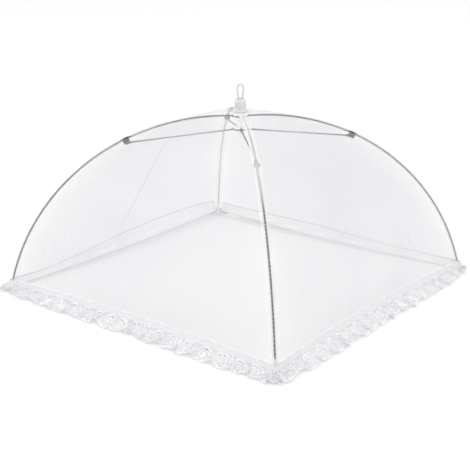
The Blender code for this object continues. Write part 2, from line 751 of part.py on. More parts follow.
def print_motion():
    """Print the joint places, ranges and ratios that the sizes give."""
    print("crown_z", round(CROWN_Z, 5), "runner_z", round(RUNNER_Z, 5), "travel", round(CROWN_TRAVEL, 5))
    print("strut swing", round(math.degrees(STRUT_SWING), 3), "rib fold", round(math.degrees(RIB_FOLD), 3))
    print("ratios", round(RIB_FOLD / CROWN_TRAVEL, 6), round(STRUT_SWING / CROWN_TRAVEL, 6))
    print("strut length", round(STRUT_LENGTH, 5), "rib length", round(RIB_LENGTH, 5))


clear_scene()
parts = make_collection(PART_NAME)
cutters = make_collection("cutters")
white_plastic = make_material("white_plastic", (0.86, 0.85, 0.85), 0.38)
spring_steel = make_material("spring_steel", (0.42, 0.42, 0.43), 0.35, 1.0)
white_net = make_material("white_net", (0.90, 0.90, 0.92), 0.85)
white_tape = make_material("white_tape", (0.92, 0.92, 0.93), 0.80)
white_lace = make_material("white_lace", (0.90, 0.90, 0.94), 0.85)
white_cord = make_material("white_cord", (0.82, 0.82, 0.82), 0.80)

make_crown_hub(white_plastic)
make_runner_hub(white_plastic)
make_rings(spring_steel)
make_top_cap(white_plastic)
make_pull_loop(white_cord)
make_ribs(spring_steel, white_tape)
make_struts(spring_steel)
make_net(white_net, white_tape)
make_lace(white_lace)
print_motion()
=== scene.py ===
# %% [markdown]
# A mesh food cover umbrella: a square dome of white net on four folding wire ribs, with a lace
# trim lying on the table. The frame holds its exact construction. This file gives every piece its
# surface and its cloth, and shows it on a plain pale table in soft light.

# %% Load the frame
import math

import bmesh
import bpy
import numpy as np
from mathutils import Matrix, Vector


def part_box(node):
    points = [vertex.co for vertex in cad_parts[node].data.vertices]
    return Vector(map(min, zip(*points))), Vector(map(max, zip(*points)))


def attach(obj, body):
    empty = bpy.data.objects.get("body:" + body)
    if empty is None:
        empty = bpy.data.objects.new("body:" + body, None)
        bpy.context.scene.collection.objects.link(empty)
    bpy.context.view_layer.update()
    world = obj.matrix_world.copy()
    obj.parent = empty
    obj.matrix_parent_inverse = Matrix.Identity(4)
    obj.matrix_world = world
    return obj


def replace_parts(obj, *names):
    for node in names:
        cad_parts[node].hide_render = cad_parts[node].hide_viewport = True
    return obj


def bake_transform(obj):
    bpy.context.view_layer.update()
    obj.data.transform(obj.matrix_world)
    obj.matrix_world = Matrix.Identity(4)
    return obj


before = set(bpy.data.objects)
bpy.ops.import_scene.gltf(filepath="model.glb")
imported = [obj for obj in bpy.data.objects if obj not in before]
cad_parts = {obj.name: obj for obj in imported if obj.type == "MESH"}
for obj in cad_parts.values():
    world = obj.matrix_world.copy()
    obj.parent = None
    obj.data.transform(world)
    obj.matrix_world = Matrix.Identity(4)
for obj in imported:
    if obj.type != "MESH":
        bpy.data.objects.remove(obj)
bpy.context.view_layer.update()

# %% [markdown]
# These are the cover's own driving sizes, in metres. The heights of the rib hinges in the crown
# and of the strut hinges in the runner are read from the frame. A corner and a side are each known
# by a bearing in degrees, and a side runs from the corner at its -1 end to the one at its +1 end.

# %% Driving sizes
def middle_z(node):
    """The height of a node's middle."""
    low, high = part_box(node)
    return low.z / 2 + high.z / 2


CROWN_Z = middle_z("crown_ring")
RUNNER_Z = middle_z("runner_ring")
HEM_SIDE = 0.400
HEM_HEIGHT = 0.008
RIB_RADIUS = 0.0010
RIB_TIP_HEIGHT = 0.0014
SLOPE_AT_CROWN = math.radians(-4.0)
SLOPE_AT_HEM = math.radians(76.0)
RING_CIRCLE = 0.0070
RING_WIRE = 0.0007
EYE_WIRE = 0.0008
EYE_RADIUS = 0.0019
HALF_DIAGONAL = HEM_SIDE / math.sqrt(2)
SLOPE_TURN = SLOPE_AT_HEM - SLOPE_AT_CROWN
ARC_RADIUS = (HALF_DIAGONAL - RING_CIRCLE) / (math.sin(SLOPE_AT_HEM) - math.sin(SLOPE_AT_CROWN))
RIB_LENGTH = ARC_RADIUS * SLOPE_TURN
CORNERS = {"front": -45.0, "right": 45.0, "back": 135.0, "left": 225.0}
SIDES = {"front_left": -90.0, "front_right": 0.0, "back_right": 90.0, "back_left": 180.0}
SIDE_ENDS = {
    "front_left": ("left", "front"),
    "front_right": ("front", "right"),
    "back_right": ("right", "back"),
    "back_left": ("back", "left"),
}
print("rib length", round(RIB_LENGTH, 4), "hinge heights", round(CROWN_Z, 4), round(RUNNER_Z, 4))

# %% [markdown]
# The camera stands where the photograph was taken from. Its place was found by laying the four
# ribs over the picture: 38 degrees round from the front, 20 degrees up, and 1.24 m from the
# cover, with a lens that is a little long. It looks at a point near the middle of the dome, so no
# lens shift is needed.

# %% Camera
VIEW_AZIMUTH = math.radians(38.05)
VIEW_ELEVATION = math.radians(20.19)
VIEW_DISTANCE = 1.2394
VIEW_ROLL = math.radians(-0.15)
AIM_SIDEWAYS = -0.0069
AIM_HEIGHT = 0.0582
LENS = 74.94


def new_object(name, data):
    """An object for some data, linked into the scene."""
    made = bpy.data.objects.new(name, data)
    bpy.context.scene.collection.objects.link(made)
    return made


def make_camera():
    """Stand the camera on its bearing and turn it towards the aim point, with a slight roll."""
    camera = new_object("camera", bpy.data.cameras.new("camera"))
    camera.data.lens = LENS
    c, s = math.cos(VIEW_AZIMUTH), math.sin(VIEW_AZIMUTH)
    level = VIEW_DISTANCE * math.cos(VIEW_ELEVATION)
    eye = Vector((level * s, -level * c, VIEW_DISTANCE * math.sin(VIEW_ELEVATION)))
    aim = Vector((AIM_SIDEWAYS * c, AIM_SIDEWAYS * s, AIM_HEIGHT))
    turn = (aim - eye).to_track_quat("-Z", "Y").to_matrix().to_4x4()
    camera.matrix_world = Matrix.Translation(eye) @ turn @ Matrix.Rotation(VIEW_ROLL, 4, "Z")
    bpy.context.scene.camera = camera
    return camera


print("camera at", [round(x, 3) for x in make_camera().matrix_world.translation])

# %% [markdown]
# The pieces are surfaces: a grid of points, worked out as one array, and the quads between
# neighbours. One function turns any grid into a mesh with its own UV map in metres, so that a
# weave keeps its size. A wrapped grid is a tube or a turned body, and its ends are closed.

# %% Surfaces from grids
def joined(*parts):
    """Arrays spread to one shape and joined along a new last axis, as u and v or as x, y and z."""
    return np.stack(np.broadcast_arrays(*parts), -1)


def as_mesh(name, points, uv, wrap=False, caps=False, flip=False):
    """Quads between row i and i + 1, column j and j + 1. wrap joins the last column to the first.

    uv has one more column than points where the grid wraps, so that the map runs on past the join.
    caps closes the first and the last row with one face each. The free edges of an open sheet are
    marked sharp, so that its rim, once it has a thickness, doesn't bend the shading beside it.
    """
    rows, columns = points.shape[:2]
    i, j = np.meshgrid(np.arange(rows - 1), np.arange(columns - (not wrap)), indexing="ij")
    i, j = i.ravel(), j.ravel()
    here, below, right = i * columns, (i + 1) * columns, (j + 1) % columns
    quads = joined(here + j, below + j, below + right, here + right)
    corner_uv = np.stack([uv[i, j], uv[i + 1, j], uv[i + 1, j + 1], uv[i, j + 1]], axis=1)
    if flip:
        quads, corner_uv = quads[:, ::-1], corner_uv[:, ::-1]
    faces = quads.tolist()
    if caps:
        first = np.arange(columns)
        faces += [first.tolist(), (first[::-1] + (rows - 1) * columns).tolist()]
        corner_uv = np.concatenate([corner_uv.reshape(-1, 2), np.zeros((2 * columns, 2))])
    mesh = bpy.data.meshes.new(name)
    mesh.from_pydata(points.reshape(-1, 3), [], faces)
    layer = mesh.uv_layers.new(name="UVMap")
    layer.data.foreach_set("uv", np.asarray(corner_uv, np.float32).ravel())
    mesh.shade_smooth()
    edge_of = np.zeros(len(mesh.loops), np.int32)
    mesh.loops.foreach_get("edge_index", edge_of)
    lone = np.bincount(edge_of, minlength=len(mesh.edges)) == 1
    mesh.attributes.new("sharp_edge", "BOOLEAN", "EDGE").data.foreach_set("value", lone)
    return mesh


def add_piece(name, mesh, material, body):
    """A piece of the cover with its finish, which rides on a body if one is given."""
    piece = new_object(name, mesh)
    mesh.materials.append(material)
    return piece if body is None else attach(piece, body)


# %% [markdown]
# The ribs and the pull cord are tubes. Their paths each lie in one plane, so the direction square
# to that plane is the same all along, and it turns the ring of points with the path without any
# twist. Each end is drawn in over three rings, so it looks cut and deburred. Hubs, cap and rivets
# are turned: a profile is carried round an axis, and its doubled points are merged.

# %% Tubes and turned bodies
END_ROUND_shares = np.array([[0.55, 0.0], [0.85, 0.12], [1.0, 0.35]])
MERGE_DISTANCE = 0.00001
SHARP_ANGLE = math.radians(35)


def full_turn(count):
    """Even angles all round, the first not repeated."""
    return np.linspace(0, 2 * np.pi, count, endpoint=False)


def direction_of(path):
    """The unit direction of a path at each of its points."""
    direction = np.gradient(path, axis=0)
    return direction / np.linalg.norm(direction, axis=1, keepdims=True)


def distance_along(path):
    """How far along a path each of its points is."""
    return np.concatenate([[0], np.cumsum(np.linalg.norm(np.diff(path, axis=0), axis=1))])


def wrapped_uv(along, girth, sides):
    """UV in metres for a wrapped grid: v is along, and u runs once round the girth."""
    return joined(np.linspace(0, girth, sides + 1)[None, :], along[:, None])


def outward(mesh, merge=False):
    """Turn the faces of a closed mesh outwards, after its doubled points are merged."""
    work = bmesh.new()
    work.from_mesh(mesh)
    if merge:
        bmesh.ops.remove_doubles(work, verts=work.verts, dist=MERGE_DISTANCE)
    bmesh.ops.recalc_face_normals(work, faces=work.faces)
    work.to_mesh(mesh)
    work.free()
    return mesh


def tube_points(path, radius, sides, square_to, lobes=None):
    """Rings about a path: path point + radius * (cos a * normal + sin a * square_to).

    The normal is square_to crossed with the path's own direction. radius is one value or one for
    each point. lobes multiplies the radius by row and angle, for a twisted cord.
    """
    radius = np.broadcast_to(np.asarray(radius, float), len(path))
    direction = direction_of(path)
    first, last, ends = END_ROUND_shares, END_ROUND_shares[::-1], len(END_ROUND_shares)
    head = path[0] + direction[0] * (first[:, 1:] * radius[0])
    tail = path[-1] - direction[-1] * (last[:, 1:] * radius[-1])
    path = np.concatenate([head, path[1:-1], tail])
    radius = np.concatenate([radius[0] * first[:, 0], radius[1:-1], radius[-1] * last[:, 0]])
    head, tail = np.repeat(direction[:1], ends, 0), np.repeat(direction[-1:], ends, 0)
    direction = np.concatenate([head, direction[1:-1], tail])
    binormal = np.broadcast_to(np.asarray(square_to, float), path.shape)
    normal = np.cross(binormal, direction)
    turn = full_turn(sides)[None, :]
    size = np.repeat(radius[:, None], sides, axis=1)
    if lobes is not None:
        size = size * lobes(np.linspace(0, 1, len(path))[:, None], turn)
    ring = np.cos(turn)[..., None] * normal[:, None] + np.sin(turn)[..., None] * binormal[:, None]
    return path[:, None] + size[..., None] * ring


def tube_mesh(name, path, radius, sides, square_to, lobes=None):
    """A closed tube with UV in metres: v along the path and u round it."""
    points = tube_points(path, radius, sides, square_to, lobes)
    uv = wrapped_uv(distance_along(points.mean(axis=1)), 2 * np.pi * np.max(radius), sides)
    return outward(as_mesh(name, points, uv, wrap=True, caps=True))


def turned_mesh(name, profile, steps):
    """A profile of (radius, height) pairs carried round Z. Points on the axis close it."""
    profile = np.asarray(profile, float)
    radius, height, turn = profile[:, :1], profile[:, 1:], full_turn(steps)
    points = joined(radius * np.cos(turn), radius * np.sin(turn), height)
    uv = wrapped_uv(distance_along(profile), 2 * np.pi * radius.max(), steps)
    mesh = outward(as_mesh(name, points, uv, wrap=True), merge=True)
    mesh.shade_smooth()
    mesh.set_sharp_from_angle(angle=SHARP_ANGLE)
    print(name, "turned", len(mesh.polygons), "faces")
    return mesh


def corner_turn(corner):
    """The turn about Z from the X-Z plane into a corner's own upright plane."""
    return Matrix.Rotation(math.radians(CORNERS[corner]), 4, "Z")


def in_corner(points, corner):
    """Turn points modelled in the X-Z plane into the upright plane of a corner."""
    return points @ np.array(corner_turn(corner))[:3, :3].T


def on_side(points, side):
    """Turn points of (outward, sideways, height) to a side of the cover."""
    return points @ np.array(Matrix.Rotation(math.radians(SIDES[side]), 3, "Z")).T


# %% [markdown]
# The pull loop is the first soft piece, because a cord's room is settled before anything else. It
# is a thin twisted cord, 1.8 mm thick, whose two ends are glued in the cap's recess. Three strands
# show as three lobes that turn slowly along it. Its route repeats the frame's own.

# %% Pull loop route
CAP_TOP_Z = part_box("top_cap")[1].z
CAP_RECESS_DEPTH = 0.0030
LOOP_CORD = 0.0018
LOOP_RISE = 0.0178
LOOP_BEND = 0.0036
LOOP_FOOT = 0.0024
LOOP_CLEAR = 0.0003
LOOP_STEPS = 20


def eased(share):
    """An S-curve from 0 to 1: three times the square, less twice the cube."""
    return 3 * share**2 - 2 * share**3


def loop_route():
    """Up from the recess, widening smoothly, round a half circle and down the other side."""
    foot = CAP_TOP_Z - CAP_RECESS_DEPTH + LOOP_CLEAR
    bend_z = CAP_TOP_Z + LOOP_RISE - LOOP_BEND - LOOP_CORD / 2
    share = np.arange(LOOP_STEPS) / LOOP_STEPS
    side = joined(LOOP_FOOT + (LOOP_BEND - LOOP_FOOT) * eased(share), 0.0, foot + (bend_z - foot) * share)
    turn = np.linspace(0, np.pi, LOOP_STEPS + 1)
    over = joined(LOOP_BEND * np.cos(turn), 0.0, bend_z + LOOP_BEND * np.sin(turn))
    back = side[::-1] * np.array([-1, 1, 1])
    return in_corner(np.concatenate([side, over, back]), "right")


route = loop_route()

# %% [markdown]
# Materials are built from nodes. Small helpers add a node and fill its sockets, so that each
# finish reads as a short list. Effects that several finishes share are node groups.

# %% Node helpers
def put(tree, kind, settings=None, inputs=None):
    """Add a node. settings are its own options; inputs are values or sockets to link, by socket."""
    made = tree.nodes.new(kind)
    for name, value in (settings or {}).items():
        setattr(made, name, value)
    for key, value in (inputs or {}).items():
        if isinstance(value, bpy.types.NodeSocket):
            tree.links.new(value, made.inputs[key])
        else:
            made.inputs[key].default_value = value
    return made


def maths(tree, operation, *values):
    """One Math node, and its result."""
    return put(tree, "ShaderNodeMath", {"operation": operation}, dict(enumerate(values))).outputs[0]


def times(tree, one, other):
    """The product of two values."""
    return maths(tree, "MULTIPLY", one, other)


def less(tree, one, other):
    """The first value less the second."""
    return maths(tree, "SUBTRACT", one, other)


def away_from(tree, value, middle):
    """How far a value is from a middle, on either side of it."""
    return maths(tree, "ABSOLUTE", less(tree, value, middle))


def vectors(tree, operation, *values):
    """One Vector Math node, and its result: a number for a dot product, otherwise a vector."""
    made = put(tree, "ShaderNodeVectorMath", {"operation": operation}, dict(enumerate(values)))
    return made.outputs["Value" if operation == "DOT_PRODUCT" else "Vector"]


def noise(tree, place, scale, detail, output="Fac"):
    """Smooth noise, with scale as its features to the metre where place is in metres."""
    inputs = {"Vector": place, "Scale": scale, "Detail": detail}
    return put(tree, "ShaderNodeTexNoise", None, inputs).outputs[output]


def smooth_step(tree, value, low, high):
    """0 below low, 1 above high, and an S-curve between them. high may be the lower of the two."""
    inputs = {"Value": value, "From Min": low, "From Max": high, "To Min": 0.0, "To Max": 1.0}
    return put(tree, "ShaderNodeMapRange", {"interpolation_type": "SMOOTHSTEP"}, inputs).outputs["Result"]


def mixed(tree, factor, first, second):
    """A value: first where factor is 0, second where it is 1."""
    return put(tree, "ShaderNodeMix", None, {0: factor, 2: first, 3: second}).outputs[0]


def opaque(colour):
    """A colour with an alpha of 1. A socket stays as it is."""
    return (*colour, 1) if isinstance(colour, tuple) else colour


def blended(tree, factor, first, second, how="MIX"):
    """A colour: first where factor is 0, second where it is 1."""
    settings = {"data_type": "RGBA", "blend_type": how}
    return put(tree, "ShaderNodeMix", settings, {0: factor, 6: opaque(first), 7: opaque(second)}).outputs[2]


def clamped(tree, value):
    """A value held between 0 and 1."""
    return put(tree, "ShaderNodeClamp", None, {"Value": value}).outputs[0]


def split(tree, vector):
    """The parts of a vector, in order."""
    return put(tree, "ShaderNodeSeparateXYZ", None, {0: vector}).outputs


def attribute(tree, name, output="Fac"):
    """What a mesh carries on its points under a name."""
    return put(tree, "ShaderNodeAttribute", {"attribute_name": name}).outputs[output]


def place_of(tree, kind):
    """Texture coordinates: Object for hard pieces, UV for cloth and cords."""
    return put(tree, "ShaderNodeTexCoord").outputs[kind]


def new_group(name, inputs, outputs):
    """An empty node group with named sockets, its input node's sockets and its output node's."""
    group = bpy.data.node_groups.new(name, "ShaderNodeTree")
    kinds = {"vector": "NodeSocketVector", "value": "NodeSocketFloat", "colour": "NodeSocketColor"}
    for way, sockets in (("INPUT", inputs), ("OUTPUT", outputs)):
        for title, kind in sockets.items():
            group.interface.new_socket(title, in_out=way, socket_type=kinds[kind])
    return group, group.nodes.new("NodeGroupInput").outputs, group.nodes.new("NodeGroupOutput").inputs


def use_group(tree, group, inputs):
    """Place a group in a tree, and return its outputs."""
    return put(tree, "ShaderNodeGroup", {"node_tree": group}, inputs).outputs


def new_finish(name, roughness, metallic=0.0, specular=0.5):
    """A material, its tree and its shader, with the constants set on the shader's own sockets."""
    material = bpy.data.materials.new(name)
    material.use_nodes = True
    shader = material.node_tree.nodes["Principled BSDF"]
    shader.inputs["Roughness"].default_value = roughness
    shader.inputs["Metallic"].default_value = metallic
    shader.inputs["Specular IOR Level"].default_value = specular
    return material, material.node_tree, shader


def colour_with(tree, shader, colour, glow=0.0):
    """Set the base colour. Thin white cloth also lets light through: a faint glow stands for it."""
    tree.links.new(colour, shader.inputs["Base Color"])
    if glow:
        tree.links.new(colour, shader.inputs["Emission Color"])
        shader.inputs["Emission Strength"].default_value = glow


def bump_into(tree, shader, height, distance, strength):
    """Send a height map to the shader's Normal through a Bump node."""
    bump = put(tree, "ShaderNodeBump", None, {"Height": height, "Distance": distance, "Strength": strength})
    tree.links.new(bump.outputs["Normal"], shader.inputs["Normal"])


print("node helpers ready")

# %% [markdown]
# Real white goods are never one white. Storage, handling and thread density leave soft patches,
# so every finish mixes two near colours by a slow noise, with a little fine grain on top.

# %% Group: soft patches
FINE_TIMES = 14.0


def build_patches():
    """Two near colours mixed by a slow noise plus a fine one. Size is patches per metre."""
    group, given, out = new_group(
        "soft_patches",
        {"Place": "vector", "Size": "value", "Light": "colour", "Dark": "colour", "Grain": "value"},
        {"Colour": "colour", "Mask": "value"},
    )
    slow = noise(group, given["Place"], given["Size"], 2.0)
    fine = noise(group, given["Place"], times(group, given["Size"], FINE_TIMES), 3.0)
    patch = smooth_step(group, slow, 0.34, 0.66)
    grain = times(group, less(group, fine, 0.5), given["Grain"])
    mask = clamped(group, maths(group, "ADD", patch, grain))
    group.links.new(blended(group, mask, given["Dark"], given["Light"]), out["Colour"])
    group.links.new(mask, out["Mask"])
    return group


PATCHES = build_patches()


def two_tones(tree, place, size, light, dark, grain):
    """The patches in two near colours, placed in a material: its Colour and its Mask."""
    inputs = {"Place": place, "Size": size, "Light": opaque(light), "Dark": opaque(dark), "Grain": grain}
    return use_group(tree, PATCHES, inputs)


print("patches", len(PATCHES.nodes), "nodes")

# %% [markdown]
# The net is knitted in a honeycomb. Three waves at sixty degrees to each other add up to peaks on
# a triangular lattice, and everything above a level is a hole: that gives round holes in
# honeycomb order from three cosines. The level sets how open the net is. At -1.3 it is nearly all
# hole, and above 0 it is nearly closed.

# %% Group: honeycomb net
LATTICE_DRIFT = 1.2
THREAD_SOFTNESS = 0.35


def build_honeycomb():
    """Thread is 1 on the threads and 0 in the holes. Place and Pitch are in metres.

    A soft noise pushes the lattice about by up to LATTICE_DRIFT pitches, because knitted net is
    never even.
    """
    group, given, out = new_group(
        "honeycomb_net",
        {"Place": "vector", "Pitch": "value", "Level": "value"},
        {"Thread": "value", "Height": "value"},
    )
    turn = 2 * math.pi
    steps = [(turn, 0, 0), (-turn / 2, turn * math.sqrt(3) / 2, 0), (-turn / 2, -turn * math.sqrt(3) / 2, 0)]
    inputs = {0: given["Place"], "Scale": maths(group, "DIVIDE", 1.0, given["Pitch"])}
    scaled = put(group, "ShaderNodeVectorMath", {"operation": "SCALE"}, inputs).outputs[0]
    uneven = noise(group, scaled, 0.16, 3.0, "Color")
    spread, back = (2 * LATTICE_DRIFT, 2 * LATTICE_DRIFT, 0.0), (-LATTICE_DRIFT, -LATTICE_DRIFT, 0.0)
    lattice = vectors(group, "ADD", scaled, vectors(group, "MULTIPLY_ADD", uneven, spread, back))
    one, two, three = [maths(group, "COSINE", vectors(group, "DOT_PRODUCT", lattice, step)) for step in steps]
    total = maths(group, "ADD", maths(group, "ADD", one, two), three)
    low = less(group, given["Level"], THREAD_SOFTNESS)
    high = maths(group, "ADD", given["Level"], THREAD_SOFTNESS)
    group.links.new(smooth_step(group, total, high, low), out["Thread"])
    group.links.new(smooth_step(group, total, high, -1.5), out["Height"])
    return group


HONEYCOMB = build_honeycomb()
print("honeycomb", len(HONEYCOMB.nodes), "nodes")

# %% [markdown]
# Tape is a woven narrow good: fine ribs across it and a finer thread along it. Two sine waves of
# different pitch, one over the other, are enough at this scale.

# %% Group: narrow weave
def build_weave():
    """Over-and-under height from two sine waves, with v along the tape and u across it."""
    group, given, out = new_group(
        "narrow_weave",
        {"Place": "vector", "Rib Pitch": "value", "Thread Pitch": "value"},
        {"Height": "value", "Shade": "value"},
    )

    def wave(place, pitch):
        return maths(group, "SINE", maths(group, "DIVIDE", times(group, place, 2 * math.pi), pitch))

    parts = split(group, given["Place"])
    across = wave(parts[1], given["Rib Pitch"])
    both = times(group, across, wave(parts[0], given["Thread Pitch"]))
    height = maths(group, "MULTIPLY_ADD", both, 0.3, maths(group, "MULTIPLY_ADD", across, 0.35, 0.5))
    group.links.new(height, out["Height"])
    group.links.new(maths(group, "MULTIPLY_ADD", both, 0.5, 0.5), out["Shade"])
    return group


WEAVE = build_weave()
print("weave", len(WEAVE.nodes), "nodes")

# %% [markdown]
# Drawn steel wire has fine streaks along its length from the die, with faint dull spots. Noise
# stretched a hundred times along the wire gives the streaks.

# %% Group: drawn wire
STREAK_STRETCH = (1.0, 0.01, 1.0)
SPOTS_PER_METRE = 260.0


def build_drawn():
    """Streaks along v and slow dull spots. Place is the wire's UV in metres."""
    group, given, out = new_group(
        "drawn_wire", {"Place": "vector", "Streak": "value"}, {"Streaks": "value", "Spots": "value"}
    )
    stretched = vectors(group, "MULTIPLY", given["Place"], STREAK_STRETCH)
    group.links.new(noise(group, stretched, given["Streak"], 3.0), out["Streaks"])
    spot = noise(group, given["Place"], SPOTS_PER_METRE, 4.0)
    group.links.new(smooth_step(group, spot, 0.5, 0.72), out["Spots"])
    return group


DRAWN = build_drawn()
print("drawn wire", len(DRAWN.nodes), "nodes")

# %% [markdown]
# The wire finish: dark spring steel, streaked along its length, duller where it is spotted. The
# photograph's wires read as dark grey lines against the bright net. The clips are darker still.

# %% Finish: spring steel
STREAKS_PER_METRE = 2600.0


def steel_finish(name, light, dark, roughness):
    """Streaks mix two greys, and the spots darken and roughen them."""
    material, tree, shader = new_finish(name, roughness, metallic=1.0)
    drawn = use_group(tree, DRAWN, {"Place": place_of(tree, "UV"), "Streak": STREAKS_PER_METRE})
    tone = times(tree, drawn["Streaks"], maths(tree, "MULTIPLY_ADD", drawn["Spots"], -0.45, 1.0))
    colour_with(tree, shader, blended(tree, tone, dark, light))
    rough = maths(tree, "MULTIPLY_ADD", drawn["Spots"], 0.22, roughness)
    tree.links.new(rough, shader.inputs["Roughness"])
    bump_into(tree, shader, drawn["Streaks"], distance=0.00003, strength=0.6)
    return material


WIRE_STEEL = steel_finish("drawn_spring_steel", (0.105, 0.105, 0.11), (0.028, 0.028, 0.032), 0.32)
CLIP_STEEL = steel_finish("pressed_clip_steel", (0.045, 0.045, 0.05), (0.012, 0.012, 0.014), 0.38)
print("steels", WIRE_STEEL.name, CLIP_STEEL.name)

# %% [markdown]
# The hub, runner and cap are moulded in white polypropylene: a soft sheen, a barely warm darker
# tone in patches, and a skin that is not quite flat. The patches carry the tint, and a fine noise
# makes the skin. The hub and runner are the same plastic painted lighter, with a stronger glow for
# light coming through them: painted light that lifts them out of the shade under the net.

# %% Finish: moulded plastic
def plastic_finish(name, light, dark, glow):
    """Patches for the tint, and one fine noise for both the roughness and the skin."""
    material, tree, shader = new_finish(name, 0.36)
    place = place_of(tree, "Object")
    tint = two_tones(tree, place, size=90.0, light=light, dark=dark, grain=0.5)
    colour_with(tree, shader, tint["Colour"], glow)
    skin = noise(tree, place, 1400.0, 4.0)
    tree.links.new(maths(tree, "MULTIPLY_ADD", skin, 0.16, 0.30), shader.inputs["Roughness"])
    bump_into(tree, shader, skin, distance=0.00006, strength=0.5)
    return material


CAP_PLASTIC = plastic_finish("moulded_cap_plastic", (0.76, 0.74, 0.742), (0.68, 0.655, 0.66), 0.01)
# The same white plastic as the cap, painted lighter and glowing: painted light.
LIGHTENED_HUB_PLASTIC = plastic_finish("moulded_hub_plastic_lightened", (0.92, 0.905, 0.905), (0.87, 0.85, 0.85), 0.16)
print("plastics", CAP_PLASTIC.name, LIGHTENED_HUB_PLASTIC.name)

# %% [markdown]
# The net's finish joins the honeycomb, as Alpha, with the patches as its tint. The net is pulled
# tight along the ribs and round the crown, where its holes open up, and slack in mid panel, where
# they close. A faint crease from folding runs down the two back panels, mostly the left one, where
# it wanders off the middle: threads pushed together there cover more, and the grey along it is
# painted shade of the crease. The mesh carries the tension and the crease's place and strength as
# attributes.

# %% Finish: net
NET_PITCH = 0.0010
NET_SLACK_LEVEL = -0.63
NET_TIGHT_LEVEL = -1.30
CREASE_HALF_WIDTH = 0.0022
CREASE_CORE = 0.0004
CREASE_COVER = 0.35


def net_finish():
    """The level of the honeycomb follows the tension, and the crease adds thread and painted shade."""
    material, tree, shader = new_finish("knitted_white_net", 0.75, specular=0.2)
    place = place_of(tree, "UV")
    level = mixed(tree, attribute(tree, "tension"), NET_SLACK_LEVEL, NET_TIGHT_LEVEL)
    net = use_group(tree, HONEYCOMB, {"Place": place, "Pitch": NET_PITCH, "Level": level})
    # Grey thread with a strong glow: painted shade of the threads on each other, and painted light through
    # the cloth.
    whites = {"light": (0.62, 0.615, 0.63), "dark": (0.59, 0.58, 0.602)}
    tint = two_tones(tree, place_of(tree, "Object"), size=11.0, grain=0.2, **whites)
    from_line = away_from(tree, split(tree, place)[0], attribute(tree, "crease_middle"))
    line = smooth_step(tree, from_line, CREASE_HALF_WIDTH, CREASE_CORE)
    crease = times(tree, line, attribute(tree, "crease"))
    # The crease's grey, 0.56, is painted shade.
    colour_with(tree, shader, blended(tree, crease, tint["Colour"], (0.56, 0.56, 0.59)), glow=0.42)
    cover = maths(tree, "ADD", net["Thread"], times(tree, crease, CREASE_COVER))
    tree.links.new(clamped(tree, cover), shader.inputs["Alpha"])
    bump_into(tree, shader, net["Height"], distance=0.0002, strength=0.5)
    return material


NET = net_finish()
print("net", NET_PITCH * 1000, "mm pitch")

# %% [markdown]
# Each net panel is cut to a gore and stretched between two ribs, so its level lines run straight
# from rib to rib near the crown and bow inwards towards the hem. The panel is one function of two
# parameters: the share of the rib's length from the crown, and the place across from -1 to 1.

# %% The dome's surface
HUB_RADIUS = 0.0095
BORE_RADIUS = 0.0026
SHANK_RADIUS = BORE_RADIUS - 0.0003
NET_HOLE_MARGIN = 0.0008
NET_HOLE_CORNER = (SHANK_RADIUS + NET_HOLE_MARGIN) * math.sqrt(2)
NET_FLAT_CORNER = HUB_RADIUS * math.sqrt(2)
SEWN_GAP = 0.0003
NET_TOP_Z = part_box("crown_hub")[1].z + SEWN_GAP
NET_LIFT = 0.00245
NET_DRAPE_REACH = 0.035
NET_HEM_BOW = 0.0095
SEAM_HALF_WIDTH = 0.0060
SEAM_APEX_share = 0.40
TAPE_HEIGHT = 0.0050


def rib_arc(share):
    """Radius, height and slope of a rib's centre line: a circular arc from crown to hem."""
    slope = SLOPE_AT_CROWN + SLOPE_TURN * np.asarray(share, float)
    radius = RING_CIRCLE + ARC_RADIUS * (np.sin(slope) - math.sin(SLOPE_AT_CROWN))
    height = CROWN_Z - ARC_RADIUS * (math.cos(SLOPE_AT_CROWN) - np.cos(slope))
    return radius, height, slope


def share_at_radius(radius):
    """The share of the rib's length at which its centre line is at a radius."""
    slope = math.asin((radius - RING_CIRCLE) / ARC_RADIUS + math.sin(SLOPE_AT_CROWN))
    return (slope - SLOPE_AT_CROWN) / SLOPE_TURN


def net_profile(share):
    """The rib's arc moved out square to itself by NET_LIFT, and eased up on to the hub's flat top."""
    radius, height, slope = rib_arc(share)
    radius = radius + NET_LIFT * np.sin(slope)
    height = height + NET_LIFT * np.cos(slope)
    _, hub_height, hub_slope = rib_arc(share_at_radius(NET_FLAT_CORNER))
    drape = NET_TOP_Z - hub_height - NET_LIFT * np.cos(hub_slope)
    past = np.clip((radius - NET_FLAT_CORNER) / NET_DRAPE_REACH, 0, 1)
    lifted = height + drape * (1 - past) ** 2
    return radius, np.where(radius <= NET_FLAT_CORNER, NET_TOP_Z, lifted)


def seam_half(width):
    """Half the width of the seam over a rib, narrower where the seams meet under the cap."""
    return np.minimum(SEAM_HALF_WIDTH, SEAM_APEX_share * width)


def side_point(share, across):
    """Outward, sideways and height: width is radius / root 2, drawn in by the bow in the middle."""
    radius, height = net_profile(share)
    width = radius / math.sqrt(2)
    bow = NET_HEM_BOW * np.clip(share, 0, 1) ** 2
    return width - bow * (1 - across**2), across * width, height


def hem_share_above(height):
    """The share of the rib's length that ends a height above the hem, along the wire."""
    return 1 - height / RIB_LENGTH


def net_rows(count, tape_room):
    """Shares from the cap's shank to just above the hem tape, as a column."""
    rim = share_at_radius(NET_FLAT_CORNER)
    last = hem_share_above(TAPE_HEIGHT + tape_room)
    return np.concatenate([[share_at_radius(NET_HOLE_CORNER)], np.linspace(rim, last, count)])[:, None]


def panel_reach(share):
    """How far across a side its panel goes, up to the seam, as a share of half its width."""
    width = net_profile(share)[0] / math.sqrt(2)
    return (width - seam_half(width) - SEWN_GAP) / width


HEM_HALF_WIDTH = float(side_point(1.0, 1.0)[1])
print("net at the hem", round(2 * HEM_HALF_WIDTH, 4), "m from rib to rib")
